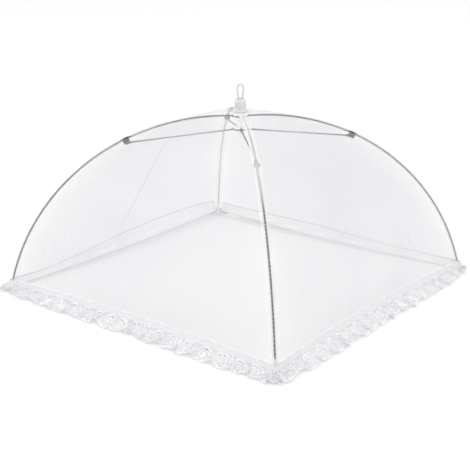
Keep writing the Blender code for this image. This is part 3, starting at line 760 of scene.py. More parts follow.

# %% [markdown]
# The cover folds: the ribs swing down to the middle while the crown rises. Real net then hangs in
# a pleat between the ribs, with its middle line outermost. Each panel is therefore two halves.


def follow_rib(piece):
    """Bake a half panel's transform into its mesh."""
    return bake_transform(piece)


def halves(side):
    """The two halves of a side: their corner, and which way across is outward for them."""
    low, high = SIDE_ENDS[side]
    return ((low, -1), (high, 1))


def add_half(kind, points, uv, material, slot, corner, side, stands_for=None, **grid):
    """A half piece of a side, named for its kind, its side and its corner."""
    name = f"{kind}_{side}_{corner}"
    mesh = as_mesh(name, on_side(points, side), uv, **grid)
    if grid.get("wrap"):
        outward(mesh)
    piece = follow_rib(add_piece(name, mesh, material, None))
    return piece if stands_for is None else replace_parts(piece, f"{stands_for}_{side}")


def give_thickness(piece, thickness, offset=1):
    """Give a single skin its thickness: an offset of 1 adds it outside, and 0 on both sides."""
    solid = piece.modifiers.new("thread", "SOLIDIFY")
    solid.thickness = thickness
    solid.offset = offset
    return piece


def put_on_points(mesh, name, values, shape):
    """A number for each point of a grid of that shape, for the finish to read."""
    layer = mesh.attributes.new(name, "FLOAT", "POINT")
    layer.data.foreach_set("value", np.broadcast_to(values, shape).astype(np.float32).ravel())


def flat_area(points):
    """The area of a grid of points: half the cross product of each cell's two diagonals."""
    one = points[1:, 1:] - points[:-1, :-1]
    other = points[1:, :-1] - points[:-1, 1:]
    return float(np.linalg.norm(np.cross(one, other), axis=-1).sum() / 2)


# %% [markdown]
# The net itself is a single skin given a seventh of a millimetre of thread by Solidify. Towards
# the hem it is gathered on to the tape, which leaves soft upright puckers; they fade out upwards.
# They only push outwards, so the net stays clear of the ribs.

# %% Net panels
NET_THREAD = 0.00014
NET_ROWS = 64
NET_HALF_COLUMNS = 44
PUCKER_PITCH = 0.019
PUCKER_DEPTH = 0.0009
PUCKER_START_share = 0.72
PUCKER_DRIFT = 2.2
CREASE_strengths = {"front_left": 0.0, "front_right": 0.0, "back_right": 0.10, "back_left": 1.0}
CREASE_START_share = 0.44
CREASE_END_share = 0.92
CREASE_IN_share = 0.06
CREASE_OUT_share = 0.08
CREASE_SHIFT = -0.0105
CREASE_SWEEP = 0.324
CREASE_TURN_share = 0.60
TENSION_REACH = 0.040
CROWN_TENSION_REACH = 0.060


def wander(place, *waves):
    """The sum of sine waves of a place, each given by its size, its radians to the metre and its start."""
    return sum(size * np.sin(place * rate + start) for size, rate, start in waves)


def puckers(share, sideways):
    """Outward push of the gathers: a raised sine across, with a drifting pitch, fading up the panel."""
    drift = PUCKER_DRIFT * wander(sideways, (0.35, 41.0, 0.0), (0.25, 97.0, 1.3))
    wave = 0.5 + wander(sideways, (0.5, 2 * np.pi / PUCKER_PITCH, drift))
    fade = np.clip((share - PUCKER_START_share) / (1 - PUCKER_START_share), 0, 1) ** 2
    return PUCKER_DEPTH * wave * fade


def half_panel(sign):
    """Points, UV and rows of a half panel, from its middle line to its seam."""
    rows = net_rows(NET_ROWS, SEWN_GAP)
    across = sign * np.linspace(0, 1, NET_HALF_COLUMNS + 1)[None, :] * panel_reach(rows)
    outward_by, sideways, height = side_point(rows, across)
    slope, push = rib_arc(rows)[2], puckers(rows, sideways)
    points = joined(outward_by + push * np.sin(slope), sideways, height + push * np.cos(slope))
    return points, joined(sideways, rows * RIB_LENGTH), rows


def make_net(side):
    """The two halves of a panel, with the crease's place and strength, and the tension, on the points."""
    made = []
    strength = CREASE_strengths[side]
    for corner, sign in halves(side):
        points, uv, rows = half_panel(sign)
        piece = add_half("net", points, uv, NET, "white_net", corner, side, "net_gore", flip=sign < 0)
        middle = strength * (CREASE_SHIFT + CREASE_SWEEP * (rows - CREASE_TURN_share) ** 2)
        begun = np.clip((rows - CREASE_START_share) / CREASE_IN_share, 0, 1)
        left = np.clip((CREASE_END_share - rows) / CREASE_OUT_share, 0, 1)
        from_rib = np.abs(points[..., 1] - sign * points[..., 0]) / math.sqrt(2)
        from_crown = rows * RIB_LENGTH
        tension = np.maximum(np.exp(-from_rib / TENSION_REACH), np.exp(-from_crown / CROWN_TENSION_REACH))
        carried = {"crease_middle": middle, "crease": strength * begun * left, "tension": tension}
        for name, values in carried.items():
            put_on_points(piece.data, name, values, points.shape[:2])
        made.append((give_thickness(piece, NET_THREAD), corner, flat_area(points)))
    return made


net_pieces = {side: make_net(side) for side in SIDES}
print("net panel half", round(net_pieces["front_left"][0][2], 4), "square metres")

# %% [markdown]
# Over each rib the panels are joined in a seam. Its allowance is folded to one side of the wire,
# where it shows as a close white strip; the other side is one layer of net with a stitched edge.
# The front seam is sewn close, and for a stretch below the clip it even hides its wire. The other
# three are open: the wire shows dark in them below the clip, and above it through thinner net,
# and they leave an opening for the clip. The finish takes the honeycomb's level from the place on
# the band: on a wing or over the wire, and above or below the clip.

# %% Finish: seam allowance
SEAM_SLIT_HALF = 0.0015
SEAM_EDGE = 0.0053
SEAM_SOFT = 0.0003
SEAM_FOLD_SOFT = 0.0004
CLOSE_LEVEL = 0.35
MIDDLE_LEVEL = -0.70
LOOSE_LEVEL = -0.50
NEAR_LEVEL = -0.62
UPPER_SLIT_LEVEL = -0.35
OPEN_LEVEL = -1.30
SLIT_CLOSED_share = 0.32
SLIT_OPEN_share = 0.38
COVER_MIDDLE_share = 0.43
COVER_REACH_share = 0.13
COVER_CORE_share = 0.3 * COVER_REACH_share
COVER_RISE = 1.10
CLIP_PLACE_share = 0.365
CLIP_OPENING = 0.0047


def seam_finish():
    """Mix the levels of wing, slit, cover and edge by the place on the band, and cut the clip's opening."""
    material, tree, shader = new_finish("doubled_seam_net", 0.80, specular=0.2)
    place = place_of(tree, "UV")
    sideways, along, _ = split(tree, place)
    across = maths(tree, "ABSOLUTE", sideways)
    closeness = attribute(tree, "closeness")
    above = smooth_step(tree, along, SLIT_OPEN_share * RIB_LENGTH, SLIT_CLOSED_share * RIB_LENGTH)
    folded = smooth_step(tree, sideways, -SEAM_FOLD_SOFT, SEAM_FOLD_SOFT)
    open_wing = mixed(tree, above, OPEN_LEVEL, NEAR_LEVEL)
    far_wing = mixed(tree, closeness, open_wing, mixed(tree, above, LOOSE_LEVEL, CLOSE_LEVEL))
    near_wing = mixed(tree, closeness, open_wing, LOOSE_LEVEL)
    wing = mixed(tree, folded, near_wing, far_wing)
    from_cover = away_from(tree, along, COVER_MIDDLE_share * RIB_LENGTH)
    cover = smooth_step(tree, from_cover, COVER_REACH_share * RIB_LENGTH, COVER_CORE_share * RIB_LENGTH)
    closed = mixed(tree, above, OPEN_LEVEL, MIDDLE_LEVEL)
    covered = maths(tree, "MULTIPLY_ADD", cover, COVER_RISE, closed)
    slit = mixed(tree, closeness, mixed(tree, above, OPEN_LEVEL, UPPER_SLIT_LEVEL), covered)
    over_wire = smooth_step(tree, across, SEAM_SLIT_HALF + SEAM_SOFT, SEAM_SLIT_HALF - SEAM_SOFT)
    level = mixed(tree, over_wire, wing, slit)
    net = use_group(tree, HONEYCOMB, {"Place": place, "Pitch": NET_PITCH, "Level": level})
    tint = two_tones(tree, place, size=60.0, light=(0.93, 0.93, 0.935), dark=(0.88, 0.88, 0.89), grain=0.4)
    colour_with(tree, shader, tint["Colour"], glow=0.08)
    edge = smooth_step(tree, across, SEAM_EDGE, SEAM_EDGE + SEAM_SOFT)
    stitched = times(tree, edge, maths(tree, "MULTIPLY_ADD", closeness, 0.7, 0.3))
    cloth = maths(tree, "MAXIMUM", net["Thread"], stitched)
    from_clip = away_from(tree, along, CLIP_PLACE_share * RIB_LENGTH)
    opening = smooth_step(tree, from_clip, CLIP_OPENING + SEAM_SOFT, CLIP_OPENING - SEAM_SOFT)
    gone = times(tree, opening, less(tree, 1.0, closeness))
    tree.links.new(times(tree, cloth, less(tree, 1.0, gone)), shader.inputs["Alpha"])
    bump_into(tree, shader, net["Height"], distance=0.0002, strength=0.6)
    return material


SEAM = seam_finish()
print("seam finish", len(SEAM.node_tree.nodes), "nodes")

# %% [markdown]
# The band itself is a low tent along the rib, with its crest rounded over the wire. It starts
# under the cap's flange, far enough out to turn with the rib without touching the cap. A fold of
# 1 puts the allowance on the clockwise side, seen from outside.

# %% Seam bands
SEAM_COLUMNS = 24
SEAM_ROWS = 90
SEAM_CREST_ROUND_share = 0.12
SEAM_TOP_RADIUS = 0.0058
SEAM_FOLDS = {"front": 1, "right": -1, "back": 1, "left": 1}
SEAM_closeness_shares = {"front": 1.0, "right": 0.14, "back": 0.14, "left": 0.14}


def seam_points():
    """Edge, ridge, edge in the corner's own plane: a tent with its crest rounded over the wire.

    Across the band the place runs from edge to ridge as the root of a square plus a small
    constant, which is a straight wing with a round top.
    """
    top = share_at_radius(SEAM_TOP_RADIUS)
    rows = np.concatenate([[[top]], net_rows(SEAM_ROWS, 0)[1:], [[1.0]]])
    radius, height = net_profile(rows)
    width = radius / math.sqrt(2)
    half = seam_half(width)
    outward_by, sideways, _ = side_point(rows, 1 - half / width)
    edge_radius = (outward_by + sideways) / math.sqrt(2)
    edge_side = (sideways - outward_by) / math.sqrt(2)
    a = np.linspace(-1, 1, SEAM_COLUMNS + 1)[None, :]
    crest = np.sqrt(a**2 + SEAM_CREST_ROUND_share**2) - SEAM_CREST_ROUND_share
    points = joined(radius + (edge_radius - radius) * crest / crest[:, -1:], edge_side * a, height)
    return points, joined(a * half, rows * RIB_LENGTH)


def make_seam(corner):
    """A band over one rib, with its allowance folded to that corner's side."""
    points, uv = seam_points()
    uv[..., 0] *= SEAM_FOLDS[corner]
    mesh = as_mesh(f"seam_{corner}", in_corner(points, corner), uv)
    put_on_points(mesh, "closeness", SEAM_closeness_shares[corner], points.shape[:2])
    piece = add_piece(f"seam_{corner}", mesh, SEAM, f"rib_{corner}")
    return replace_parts(give_thickness(piece, NET_THREAD), f"seam_band_{corner}"), flat_area(points)


seams = {corner: make_seam(corner) for corner in CORNERS}
print("seam band", round(seams["front"][1] * 1e4, 1), "square centimetres")

# %% [markdown]
# Inside the cover the allowance wraps under the wire and makes a narrow sleeve, so that from
# within a rib shows as a soft pale line. It is a gutter of doubled net below the wire, with a gap
# for the clip. Near the tip it closes all round the wire. It rides with its rib.

# %% Sleeves
SLEEVE_RADIUS = 0.0015
SLEEVE_HALF_ANGLE = math.radians(68)
SLEEVE_CLOSED_HALF_ANGLE = math.radians(179)
SLEEVE_ROWS_PER_RIB = 300
SLEEVE_COLUMNS = 19
SLEEVE_SPANS_shares = ((0.045, 0.345), (0.388, 0.998))
SLEEVE_WRAP_shares = {"front": 0.962, "right": 0.985, "back": 0.954, "left": 0.982}
SLEEVE_WRAP_RUN_share = 0.012
SLEEVE_PITCH = 0.0009
SLEEVE_LEVEL = 0.55
SLEEVE_CLOSING = 2.2


def sleeve_points(low, high, wrap):
    """A third of a tube on the rib's inner side, whose two edges meet on its outer side past wrap."""
    share = np.linspace(low, high, int((high - low) * SLEEVE_ROWS_PER_RIB))[:, None]
    closed = np.clip((share - wrap) / SLEEVE_WRAP_RUN_share, 0, 1)
    half_angle = SLEEVE_HALF_ANGLE + (SLEEVE_CLOSED_HALF_ANGLE - SLEEVE_HALF_ANGLE) * eased(closed)
    turn = half_angle * np.linspace(-1, 1, SLEEVE_COLUMNS)[None, :]
    radius, height, slope = rib_arc(share)
    down, aside = SLEEVE_RADIUS * np.cos(turn), SLEEVE_RADIUS * np.sin(turn)
    points = joined(radius - down * np.sin(slope), aside, height - down * np.cos(slope))
    return points, joined(turn * SLEEVE_RADIUS, share * RIB_LENGTH), closed


def sleeve_finish():
    """Close honeycomb, which has no holes left where the sleeve is closed."""
    material, tree, shader = new_finish("doubled_sleeve_net", 0.80, specular=0.2)
    place = place_of(tree, "UV")
    level = maths(tree, "MULTIPLY_ADD", attribute(tree, "closed"), SLEEVE_CLOSING, SLEEVE_LEVEL)
    net = use_group(tree, HONEYCOMB, {"Place": place, "Pitch": SLEEVE_PITCH, "Level": level})
    tint = two_tones(tree, place, size=80.0, light=(0.93, 0.93, 0.935), dark=(0.86, 0.86, 0.87), grain=0.4)
    colour_with(tree, shader, tint["Colour"])
    tree.links.new(net["Thread"], shader.inputs["Alpha"])
    bump_into(tree, shader, net["Height"], distance=0.0002, strength=0.6)
    return material


SLEEVE = sleeve_finish()


def make_sleeves(corner):
    """The sleeve above the clip and the one below it."""
    made = []
    for place, (low, high) in zip(("upper", "lower"), SLEEVE_SPANS_shares):
        points, uv, closed = sleeve_points(low, high, SLEEVE_WRAP_shares[corner])
        name = f"sleeve_{place}_{corner}"
        mesh = as_mesh(name, in_corner(points, corner), uv)
        put_on_points(mesh, "closed", closed, points.shape[:2])
        piece = add_piece(name, mesh, SLEEVE, f"rib_{corner}")
        made.append(give_thickness(piece, NET_THREAD, offset=0))
    return made


sleeves = {corner: make_sleeves(corner) for corner in CORNERS}
print("sleeves", sum(len(pair) for pair in sleeves.values()))

# %% [markdown]
# The ribs are 2 mm spring wire, bent from one length: an eye round the crown's ring, a smooth run
# into the arc, and a short straight tip in the corner pocket. One path carries a round section the
# whole way, so there is no joint between eye and wire.

# %% Wires
WIRE_SIDES = 20
EYE_LEAD = 0.0046
EYE_START = -318
EYE_END = 42
EYE_STEPS = 44
LEAD_STEPS = 12
LEAD_HANDLE = (0.0009, 0.0004)
LEAD_HANDLE_share = 0.62
WIRE_THIN_share = 0.55


def eye_path(lead):
    """An eye round the hinge: most of a circle, then an easy curve out on to the lead, along +X.

    The curve is a cubic from the circle to the lead, and its two handles shape its bend. The whole
    is turned down by the lead's slope.
    """
    turn = np.radians(np.linspace(EYE_START, EYE_END, EYE_STEPS))
    circle = EYE_RADIUS * joined(np.cos(turn), np.sin(turn))[:-1]
    t = np.linspace(0, 1, LEAD_STEPS)[:, None]
    start, end = circle[-1], np.array([EYE_LEAD, 0.0])
    hand_one, hand_two = start + np.array(LEAD_HANDLE), LEAD_HANDLE_share * end
    curve = (1 - t) ** 3 * start + 3 * (1 - t) ** 2 * t * hand_one
    curve = curve + 3 * (1 - t) * t**2 * hand_two + t**3 * end
    c, s = math.cos(lead), math.sin(lead)
    return np.concatenate([circle[:-1], curve]) @ np.array([[c, -s], [s, c]])


def rib_path():
    """The rib in its own plane, from the eye at the hinge to the tip, as (x, 0, z) at rest."""
    eye = eye_path(SLOPE_AT_CROWN)
    radius, height, _ = rib_arc(np.linspace(EYE_LEAD / RIB_LENGTH, 1, 150)[1:])
    drop = np.linspace(0, HEM_HEIGHT - RIB_TIP_HEIGHT, 5)[1:]
    x = np.concatenate([RING_CIRCLE + eye[:, 0], radius, radius[-1] + drop / math.tan(SLOPE_AT_HEM)])
    z = np.concatenate([CROWN_Z + eye[:, 1], height, height[-1] - drop])
    return joined(x, 0.0, z)


def wire_radius(count, thick):
    """Thin in the eye, and the full thickness from the lead on, for each point of a path."""
    lead = len(eye_path(0.0))
    ease = np.clip((np.arange(count) - lead * WIRE_THIN_share) / (lead * (1 - WIRE_THIN_share)), 0, 1)
    return EYE_WIRE + (thick - EYE_WIRE) * eased(ease)


def make_rib(corner):
    """One rib, turned into its corner."""
    path = rib_path()
    mesh = tube_mesh(f"rib_wire_{corner}", path, wire_radius(len(path), RIB_RADIUS), WIRE_SIDES, (0, -1, 0))
    mesh.transform(corner_turn(corner))
    piece = add_piece(f"rib_wire_{corner}", mesh, WIRE_STEEL, f"rib_{corner}")
    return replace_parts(piece, f"rib_{corner}")


ribs = [make_rib(corner) for corner in CORNERS]
print("ribs", [len(rib.data.polygons) for rib in ribs], "faces each")

# %% [markdown]
# A strut is a straight wire with the same eye on the runner's ring. Its outer end is hammered flat
# and drilled for the rivet, so its round section turns into a thin wide one over the last
# centimetre: one surface, with a section that changes along the way.

# %% Struts
CLIP_DROP = 0.0042
CLIP_INNER = 0.0013
CLIP_OUTER = 0.00175
STRUT_RADIUS = 0.0009
STRUT_CLEAR = 0.00055
STRUT_SIDE = CLIP_OUTER + STRUT_RADIUS + STRUT_CLEAR
STRUT_TAB_RADIUS = 0.0024
STRUT_TAB_THICKNESS = 0.0012
TAB_RUN = 0.0075
STRUT_END_share = 0.6


def clip_pivot():
    """Radius and height of the rivet, which hangs square below the rib."""
    radius, height, slope = rib_arc(CLIP_PLACE_share)
    return radius - CLIP_DROP * math.sin(slope), height - CLIP_DROP * math.cos(slope)


PIVOT_RADIUS, PIVOT_Z = clip_pivot()
STRUT_LENGTH = math.hypot(PIVOT_RADIUS - RING_CIRCLE, RUNNER_Z - PIVOT_Z)
STRUT_ANGLE = math.asin((PIVOT_Z - RUNNER_Z) / STRUT_LENGTH)


def strut_points():
    """Rings along +X from the eye. Height and width of the section change over the flattened end.

    The section is a circle at first. In the tab its half width follows a half circle about the
    rivet, and its half thickness falls to half the tab's.
    """
    eye = eye_path(0.0)
    run = np.linspace(EYE_LEAD, STRUT_LENGTH - TAB_RUN, 60)[1:]
    tab = STRUT_LENGTH - TAB_RUN + TAB_RUN * np.linspace(0, 1, 14)[1:-1]
    nose = STRUT_LENGTH + STRUT_TAB_RADIUS * np.sin(np.radians(np.linspace(0, 88, 12)))
    x = np.concatenate([eye[:, 0], run, tab, nose])
    z = np.concatenate([eye[:, 1], 0 * run, 0 * tab, 0 * nose])
    path = joined(x, STRUT_SIDE * np.clip(x, 0, None) / STRUT_LENGTH, z)
    ease = eased(np.clip((x - (STRUT_LENGTH - TAB_RUN)) / TAB_RUN, 0, 1))
    round_radius = wire_radius(len(x), STRUT_RADIUS)
    past = np.clip((x - STRUT_LENGTH) / STRUT_TAB_RADIUS, 0, 1)
    half_width = (round_radius + (STRUT_TAB_RADIUS - round_radius) * ease) * np.sqrt(1 - past**2)
    half_thick = round_radius + (STRUT_TAB_THICKNESS / 2 - round_radius) * ease
    half_width[0] *= STRUT_END_share
    half_thick[0] *= STRUT_END_share
    turn = full_turn(WIRE_SIDES)[None, :, None]
    side = np.array([0.0, -1.0, 0.0])
    wide = np.cos(turn) * half_width[:, None, None] * np.cross(side, direction_of(path))[:, None]
    thick = np.sin(turn) * half_thick[:, None, None] * side
    return path[:, None] + wide + thick, x


def make_strut(corner):
    """One strut, leaned up to its rivet and turned into its corner."""
    points, x = strut_points()
    uv = wrapped_uv(distance_along(x[:, None]), 2 * np.pi * STRUT_RADIUS, WIRE_SIDES)
    mesh = outward(as_mesh(f"strut_wire_{corner}", points, uv, wrap=True, caps=True))
    lean = Matrix.Translation((RING_CIRCLE, 0, RUNNER_Z)) @ Matrix.Rotation(-STRUT_ANGLE, 4, "Y")
    mesh.transform(corner_turn(corner) @ lean)
    piece = add_piece(f"strut_wire_{corner}", mesh, WIRE_STEEL, f"strut_{corner}")
    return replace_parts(piece, f"strut_{corner}")


struts = [make_strut(corner) for corner in CORNERS]
print("strut length", round(STRUT_LENGTH, 4))

# %% [markdown]
# The clip is a strip of dark sheet folded over the rib, with a rivet through both cheeks and the
# strut's tab beside it. Its outline is a round saddle with two straight cheeks, carried along the
# rib, and a bevel takes the sharpness off the cut edges.

# %% Clips and rivets
CLIP_LENGTH = 0.0080
CLIP_END = 0.0018
CLIP_ARC_POINTS = 18
CLIP_CHEEK_POINTS = 8
CLIP_STATIONS = 15
CLIP_NARROWING = 0.30
CLIP_BEVEL = 0.00012
CLIP_BEVEL_ANGLE = math.radians(50)
RIVET_HEAD = 0.0017
RIVET_DOME = 0.0008
RIVET_UNDERCUT = 0.0016
RIVET_EDGE = 0.00002
RIVET_SHANK = 0.00075
RIVET_STEPS = 28
RIVET_GAP = 0.0003
RIVET_FOOT_GAP = 0.0001


def clip_points():
    """The closed outline in (y, z), the same at each station along x but drawn in at the foot."""
    turn = np.linspace(0, np.pi, CLIP_ARC_POINTS)
    arc = joined(np.cos(turn), np.sin(turn))
    foot = np.linspace(-CLIP_DROP - CLIP_END, 0, CLIP_CHEEK_POINTS + 1)[:-1]
    right, inner_left = joined(CLIP_OUTER, foot), joined(-CLIP_INNER, foot)
    mirror = np.array([-1, 1])
    outer = [right, CLIP_OUTER * arc, right[::-1] * mirror]
    inner = [inner_left, CLIP_INNER * arc[::-1], inner_left[::-1] * mirror]
    outline = np.concatenate(outer + inner)
    low = np.clip(-outline[:, 1] / (CLIP_DROP + CLIP_END), 0, 1)
    stations = np.linspace(-1, 1, CLIP_STATIONS)[:, None]
    return joined(stations * CLIP_LENGTH / 2 * (1 - CLIP_NARROWING * low**4), outline[:, 0], outline[:, 1])


def rivet_profile(seat, end):
    """A domed head at seat and above, and a shank down to end, as (radius, height) pairs."""
    dome = np.radians(np.linspace(90, 0, 10))
    head = [(RIVET_HEAD * math.cos(a), seat + RIVET_DOME * math.sin(a)) for a in dome]
    return head + [(RIVET_UNDERCUT, seat - RIVET_EDGE), (RIVET_SHANK, seat), (RIVET_SHANK, end), (0.0, end)]


def make_clip(corner):
    """The folded strip over the rib."""
    radius, height, slope = rib_arc(CLIP_PLACE_share)
    points = clip_points()
    uv = wrapped_uv(np.linspace(0, CLIP_LENGTH, CLIP_STATIONS), 4 * CLIP_DROP, points.shape[1])
    mesh = outward(as_mesh(f"rib_clip_{corner}", points, uv, wrap=True, caps=True))
    place = corner_turn(corner) @ Matrix.Translation((radius, 0, height))
    mesh.transform(place @ Matrix.Rotation(slope, 4, "Y"))
    mesh.set_sharp_from_angle(angle=SHARP_ANGLE)
    clip = add_piece(f"rib_clip_{corner}", mesh, CLIP_STEEL, f"rib_{corner}")
    bevel = clip.modifiers.new("deburred", "BEVEL")
    bevel.width = CLIP_BEVEL
    bevel.segments = 2
    bevel.angle_limit = CLIP_BEVEL_ANGLE
    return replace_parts(clip, f"clip_{corner}")


def make_rivet(corner):
    """The head outside the strut's tab rides with the strut, and the foot in the clip with the rib."""
    pivot = corner_turn(corner) @ Matrix.Translation((PIVOT_RADIUS, 0, PIVOT_Z))
    sideways = pivot @ Matrix.Rotation(math.radians(-90), 4, "X")
    seat = STRUT_SIDE + STRUT_TAB_THICKNESS / 2 + RIVET_GAP
    outer = turned_mesh(f"rivet_head_{corner}", rivet_profile(seat, CLIP_OUTER + RIVET_GAP), RIVET_STEPS)
    outer.transform(sideways)
    head = add_piece(f"rivet_head_{corner}", outer, CLIP_STEEL, f"strut_{corner}")
    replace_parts(head, f"rivet_{corner}")
    profile = rivet_profile(CLIP_OUTER + RIVET_FOOT_GAP, -CLIP_INNER)
    inner = turned_mesh(f"rivet_foot_{corner}", profile, RIVET_STEPS)
    inner.transform(sideways @ Matrix.Rotation(math.pi, 4, "X"))
    add_piece(f"rivet_foot_{corner}", inner, CLIP_STEEL, f"rib_{corner}")


for corner in CORNERS:
    make_clip(corner)
    make_rivet(corner)
print("clips and rivets for", list(CORNERS))

# %% [markdown]
# The hub and runner are turned bodies with a groove for the wire ring and four slots for the eyes.
# The profile is carried round finely, and the slots are cut with exact Booleans, the way the
# frame cuts its own plainer copies. Small chamfers and rounded corners show as highlights.

# %% Hubs
HUB_CHAMFER = 0.0010
HUB_ROUND = 0.00025
HUB_STEPS = 96
GROOVE_HALF = RING_WIRE + 0.0003
GROOVE_FLOOR = RING_CIRCLE - GROOVE_HALF
EYE_OUTER = EYE_RADIUS + EYE_WIRE
EYE_CLEAR = 0.0004
SLOT_START = RING_CIRCLE - EYE_OUTER - EYE_CLEAR
SLOT_CLEAR = EYE_OUTER + EYE_CLEAR
SLOT_HALF_WIDTH = RIB_RADIUS + EYE_CLEAR
SLOT_OVERRUN = 0.002
SLOT_SHARP_ANGLE = math.radians(30)
ROUND_LIMIT_share = 0.45


def rounded(points, size, steps=4):
    """Round the corners of a profile: each sharp point becomes a short curve, by its neighbours."""
    points = [np.array(p, float) for p in points]
    made = [points[0]]
    for before, here, after in zip(points, points[1:], points[2:]):
        one, other = before - here, after - here
        lengths = np.linalg.norm(one), np.linalg.norm(other)
        reach = min(size, *(length * ROUND_LIMIT_share for length in lengths))
        start, end = here + one / lengths[0] * reach, here + other / lengths[1] * reach
        for t in np.linspace(0, 1, steps):
            made.append((1 - t) ** 2 * start + 2 * (1 - t) * t * here + t**2 * end)
    return made + [points[-1]]


def slotted(mesh, low, high):
    """Cut four radial slots between two heights, one towards each corner."""
    body = new_object("body", mesh)
    cutters = []
    length = HUB_RADIUS + SLOT_OVERRUN - SLOT_START
    middle = Matrix.Translation((SLOT_START + length / 2, 0, (low + high) / 2))
    size = Matrix.Diagonal((length, 2 * SLOT_HALF_WIDTH, high - low, 1))
    for corner in CORNERS:
        bpy.ops.mesh.primitive_cube_add(size=1)
        cutter = bpy.context.active_object
        cutter.matrix_world = corner_turn(corner) @ middle @ size
        step = body.modifiers.new("slot", "BOOLEAN")
        step.operation = "DIFFERENCE"
        step.object = cutter
        cutters.append(cutter)
    bpy.context.view_layer.update()
    cut = bpy.data.meshes.new_from_object(body.evaluated_get(bpy.context.evaluated_depsgraph_get()))
    for used in [body, *cutters]:
        bpy.data.objects.remove(used, do_unlink=True)
    cut.shade_smooth()
    cut.set_sharp_from_angle(angle=SLOT_SHARP_ANGLE)
    cut.materials.clear()
    return cut


def rim_profile(radius, height, top, bottom):
    """Down a hub's rim: chamfer, wall, the ring's groove at a height, wall and chamfer."""
    over, under = height + GROOVE_HALF, height - GROOVE_HALF
    return [
        (radius - HUB_CHAMFER, top), (radius, top - HUB_CHAMFER),
        (radius, over), (GROOVE_FLOOR, over), (GROOVE_FLOOR, under), (radius, under),
        (radius, bottom + HUB_CHAMFER), (radius - HUB_CHAMFER, bottom),
    ]


def make_crown_hub():
    """The crown's hub, read from its box for top and bottom."""
    bottom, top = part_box("crown_hub")[0].z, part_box("crown_hub")[1].z
    bore = [(BORE_RADIUS, bottom), (BORE_RADIUS, top)]
    outline = [bore[1], *rim_profile(HUB_RADIUS, CROWN_Z, top, bottom), *bore]
    turned = turned_mesh("hub", rounded(outline, HUB_ROUND), HUB_STEPS)
    mesh = slotted(turned, bottom - SLOT_OVERRUN, CROWN_Z + SLOT_CLEAR)
    piece = add_piece("crown_hub_moulding", mesh, LIGHTENED_HUB_PLASTIC, "crown")
    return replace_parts(piece, "crown_hub")


print("crown hub", len(make_crown_hub().data.polygons), "faces")

# %% [markdown]
# The runner is the hub that a hand pulls down to fold the cover. A post stands on it as the stop
# for the crown, and below it a waisted grip ends in a small rim for the fingers.

# %% Runner
RUNNER_TOP = 0.0032
RUNNER_BOTTOM = 0.0042
RUNNER_RADIUS = 0.0090
RUNNER_ROUND = 0.0004
POST_RADIUS = SLOT_START - 0.0001
GRIP_WAIST = 0.0046
GRIP_RIM = 0.0062
GRIP_RIM_HEIGHT = 0.0022


def make_runner_hub():
    """The runner: post above, grip below, read from its box for the two ends."""
    end, post_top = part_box("runner_hub")[0].z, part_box("runner_hub")[1].z
    top, bottom = RUNNER_Z + RUNNER_TOP, RUNNER_Z - RUNNER_BOTTOM
    outline = [
        (0, post_top), (POST_RADIUS, post_top), (POST_RADIUS, top),
        *rim_profile(RUNNER_RADIUS, RUNNER_Z, top, bottom), (GRIP_WAIST, bottom - HUB_CHAMFER),
        (GRIP_WAIST, end + GRIP_RIM_HEIGHT), (GRIP_RIM, end + HUB_CHAMFER), (GRIP_RIM, end), (0, end),
    ]
    turned = turned_mesh("hub", rounded(outline, RUNNER_ROUND), HUB_STEPS)
    mesh = slotted(turned, RUNNER_Z - SLOT_CLEAR, top + SLOT_OVERRUN)
    piece = add_piece("runner_moulding", mesh, LIGHTENED_HUB_PLASTIC, "runner")
    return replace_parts(piece, "runner_hub")


print("runner", len(make_runner_hub().data.polygons), "faces")

# %% [markdown]
# The cap is the white knob that shows on top: a short cylinder with a softly rounded rim, a small
# recess for the loop, and a flare that spreads to a thin flange on the net. Everything is one
# profile, rounded at its corners, with a faint parting line round the neck.

# %% Cap
CAP_NECK_RADIUS = 0.0070
CAP_FLANGE = 0.0012
CAP_FLARE_HEIGHT = 0.0048
CAP_FLARE_STEPS = 12
CAP_RECESS_RADIUS = 0.0044
CAP_PARTING = 0.00012
CAP_SHOULDER = 0.0014
CAP_SHOULDER_DROP = 2.2 * CAP_SHOULDER
CAP_ROUND = 0.0008
CAP_SEAT_GAP = 0.0001


def make_cap():
    """Recess floor, rim, neck, flare as a quarter wave, flange and shank, down the outer side."""
    base = NET_TOP_Z + NET_THREAD + CAP_SEAT_GAP
    floor, end = CAP_TOP_Z - CAP_RECESS_DEPTH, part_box("top_cap")[0].z
    flare_top, flange_top = base + CAP_FLARE_HEIGHT, base + CAP_FLANGE
    parting = (CAP_TOP_Z + flare_top) / 2
    quarter = np.linspace(0, 1, CAP_FLARE_STEPS)[1:-1] * np.pi / 2
    flare_radius = CAP_NECK_RADIUS + (HUB_RADIUS - CAP_NECK_RADIUS) * (1 - np.cos(quarter))
    flare = joined(flare_radius, flare_top - (flare_top - flange_top) * np.sin(quarter))
    outline = [
        (0, floor), (CAP_RECESS_RADIUS, floor), (CAP_RECESS_RADIUS, CAP_TOP_Z),
        (CAP_NECK_RADIUS - CAP_SHOULDER, CAP_TOP_Z), (CAP_NECK_RADIUS, CAP_TOP_Z - CAP_SHOULDER_DROP),
        (CAP_NECK_RADIUS, parting + 3 * CAP_PARTING),
        (CAP_NECK_RADIUS - CAP_PARTING, parting), (CAP_NECK_RADIUS, parting - 3 * CAP_PARTING),
        (CAP_NECK_RADIUS, flare_top), *flare, (HUB_RADIUS, flange_top), (HUB_RADIUS, base),
        (SHANK_RADIUS, base), (SHANK_RADIUS, end), (0, end),
    ]
    mesh = turned_mesh("cap_moulding", rounded(outline, CAP_ROUND), HUB_STEPS)
    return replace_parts(add_piece("cap_moulding", mesh, CAP_PLASTIC, "crown"), "top_cap")


print("cap", len(make_cap().data.polygons), "faces")

# %% [markdown]
# In each hub's groove lies a ring of thin wire, which the eyes turn on. It is a torus: a circle
# carried round a larger circle, with the last row laid on the first and merged with it.

# %% Rings
RING_STEPS = 72
RING_SIDES = 16


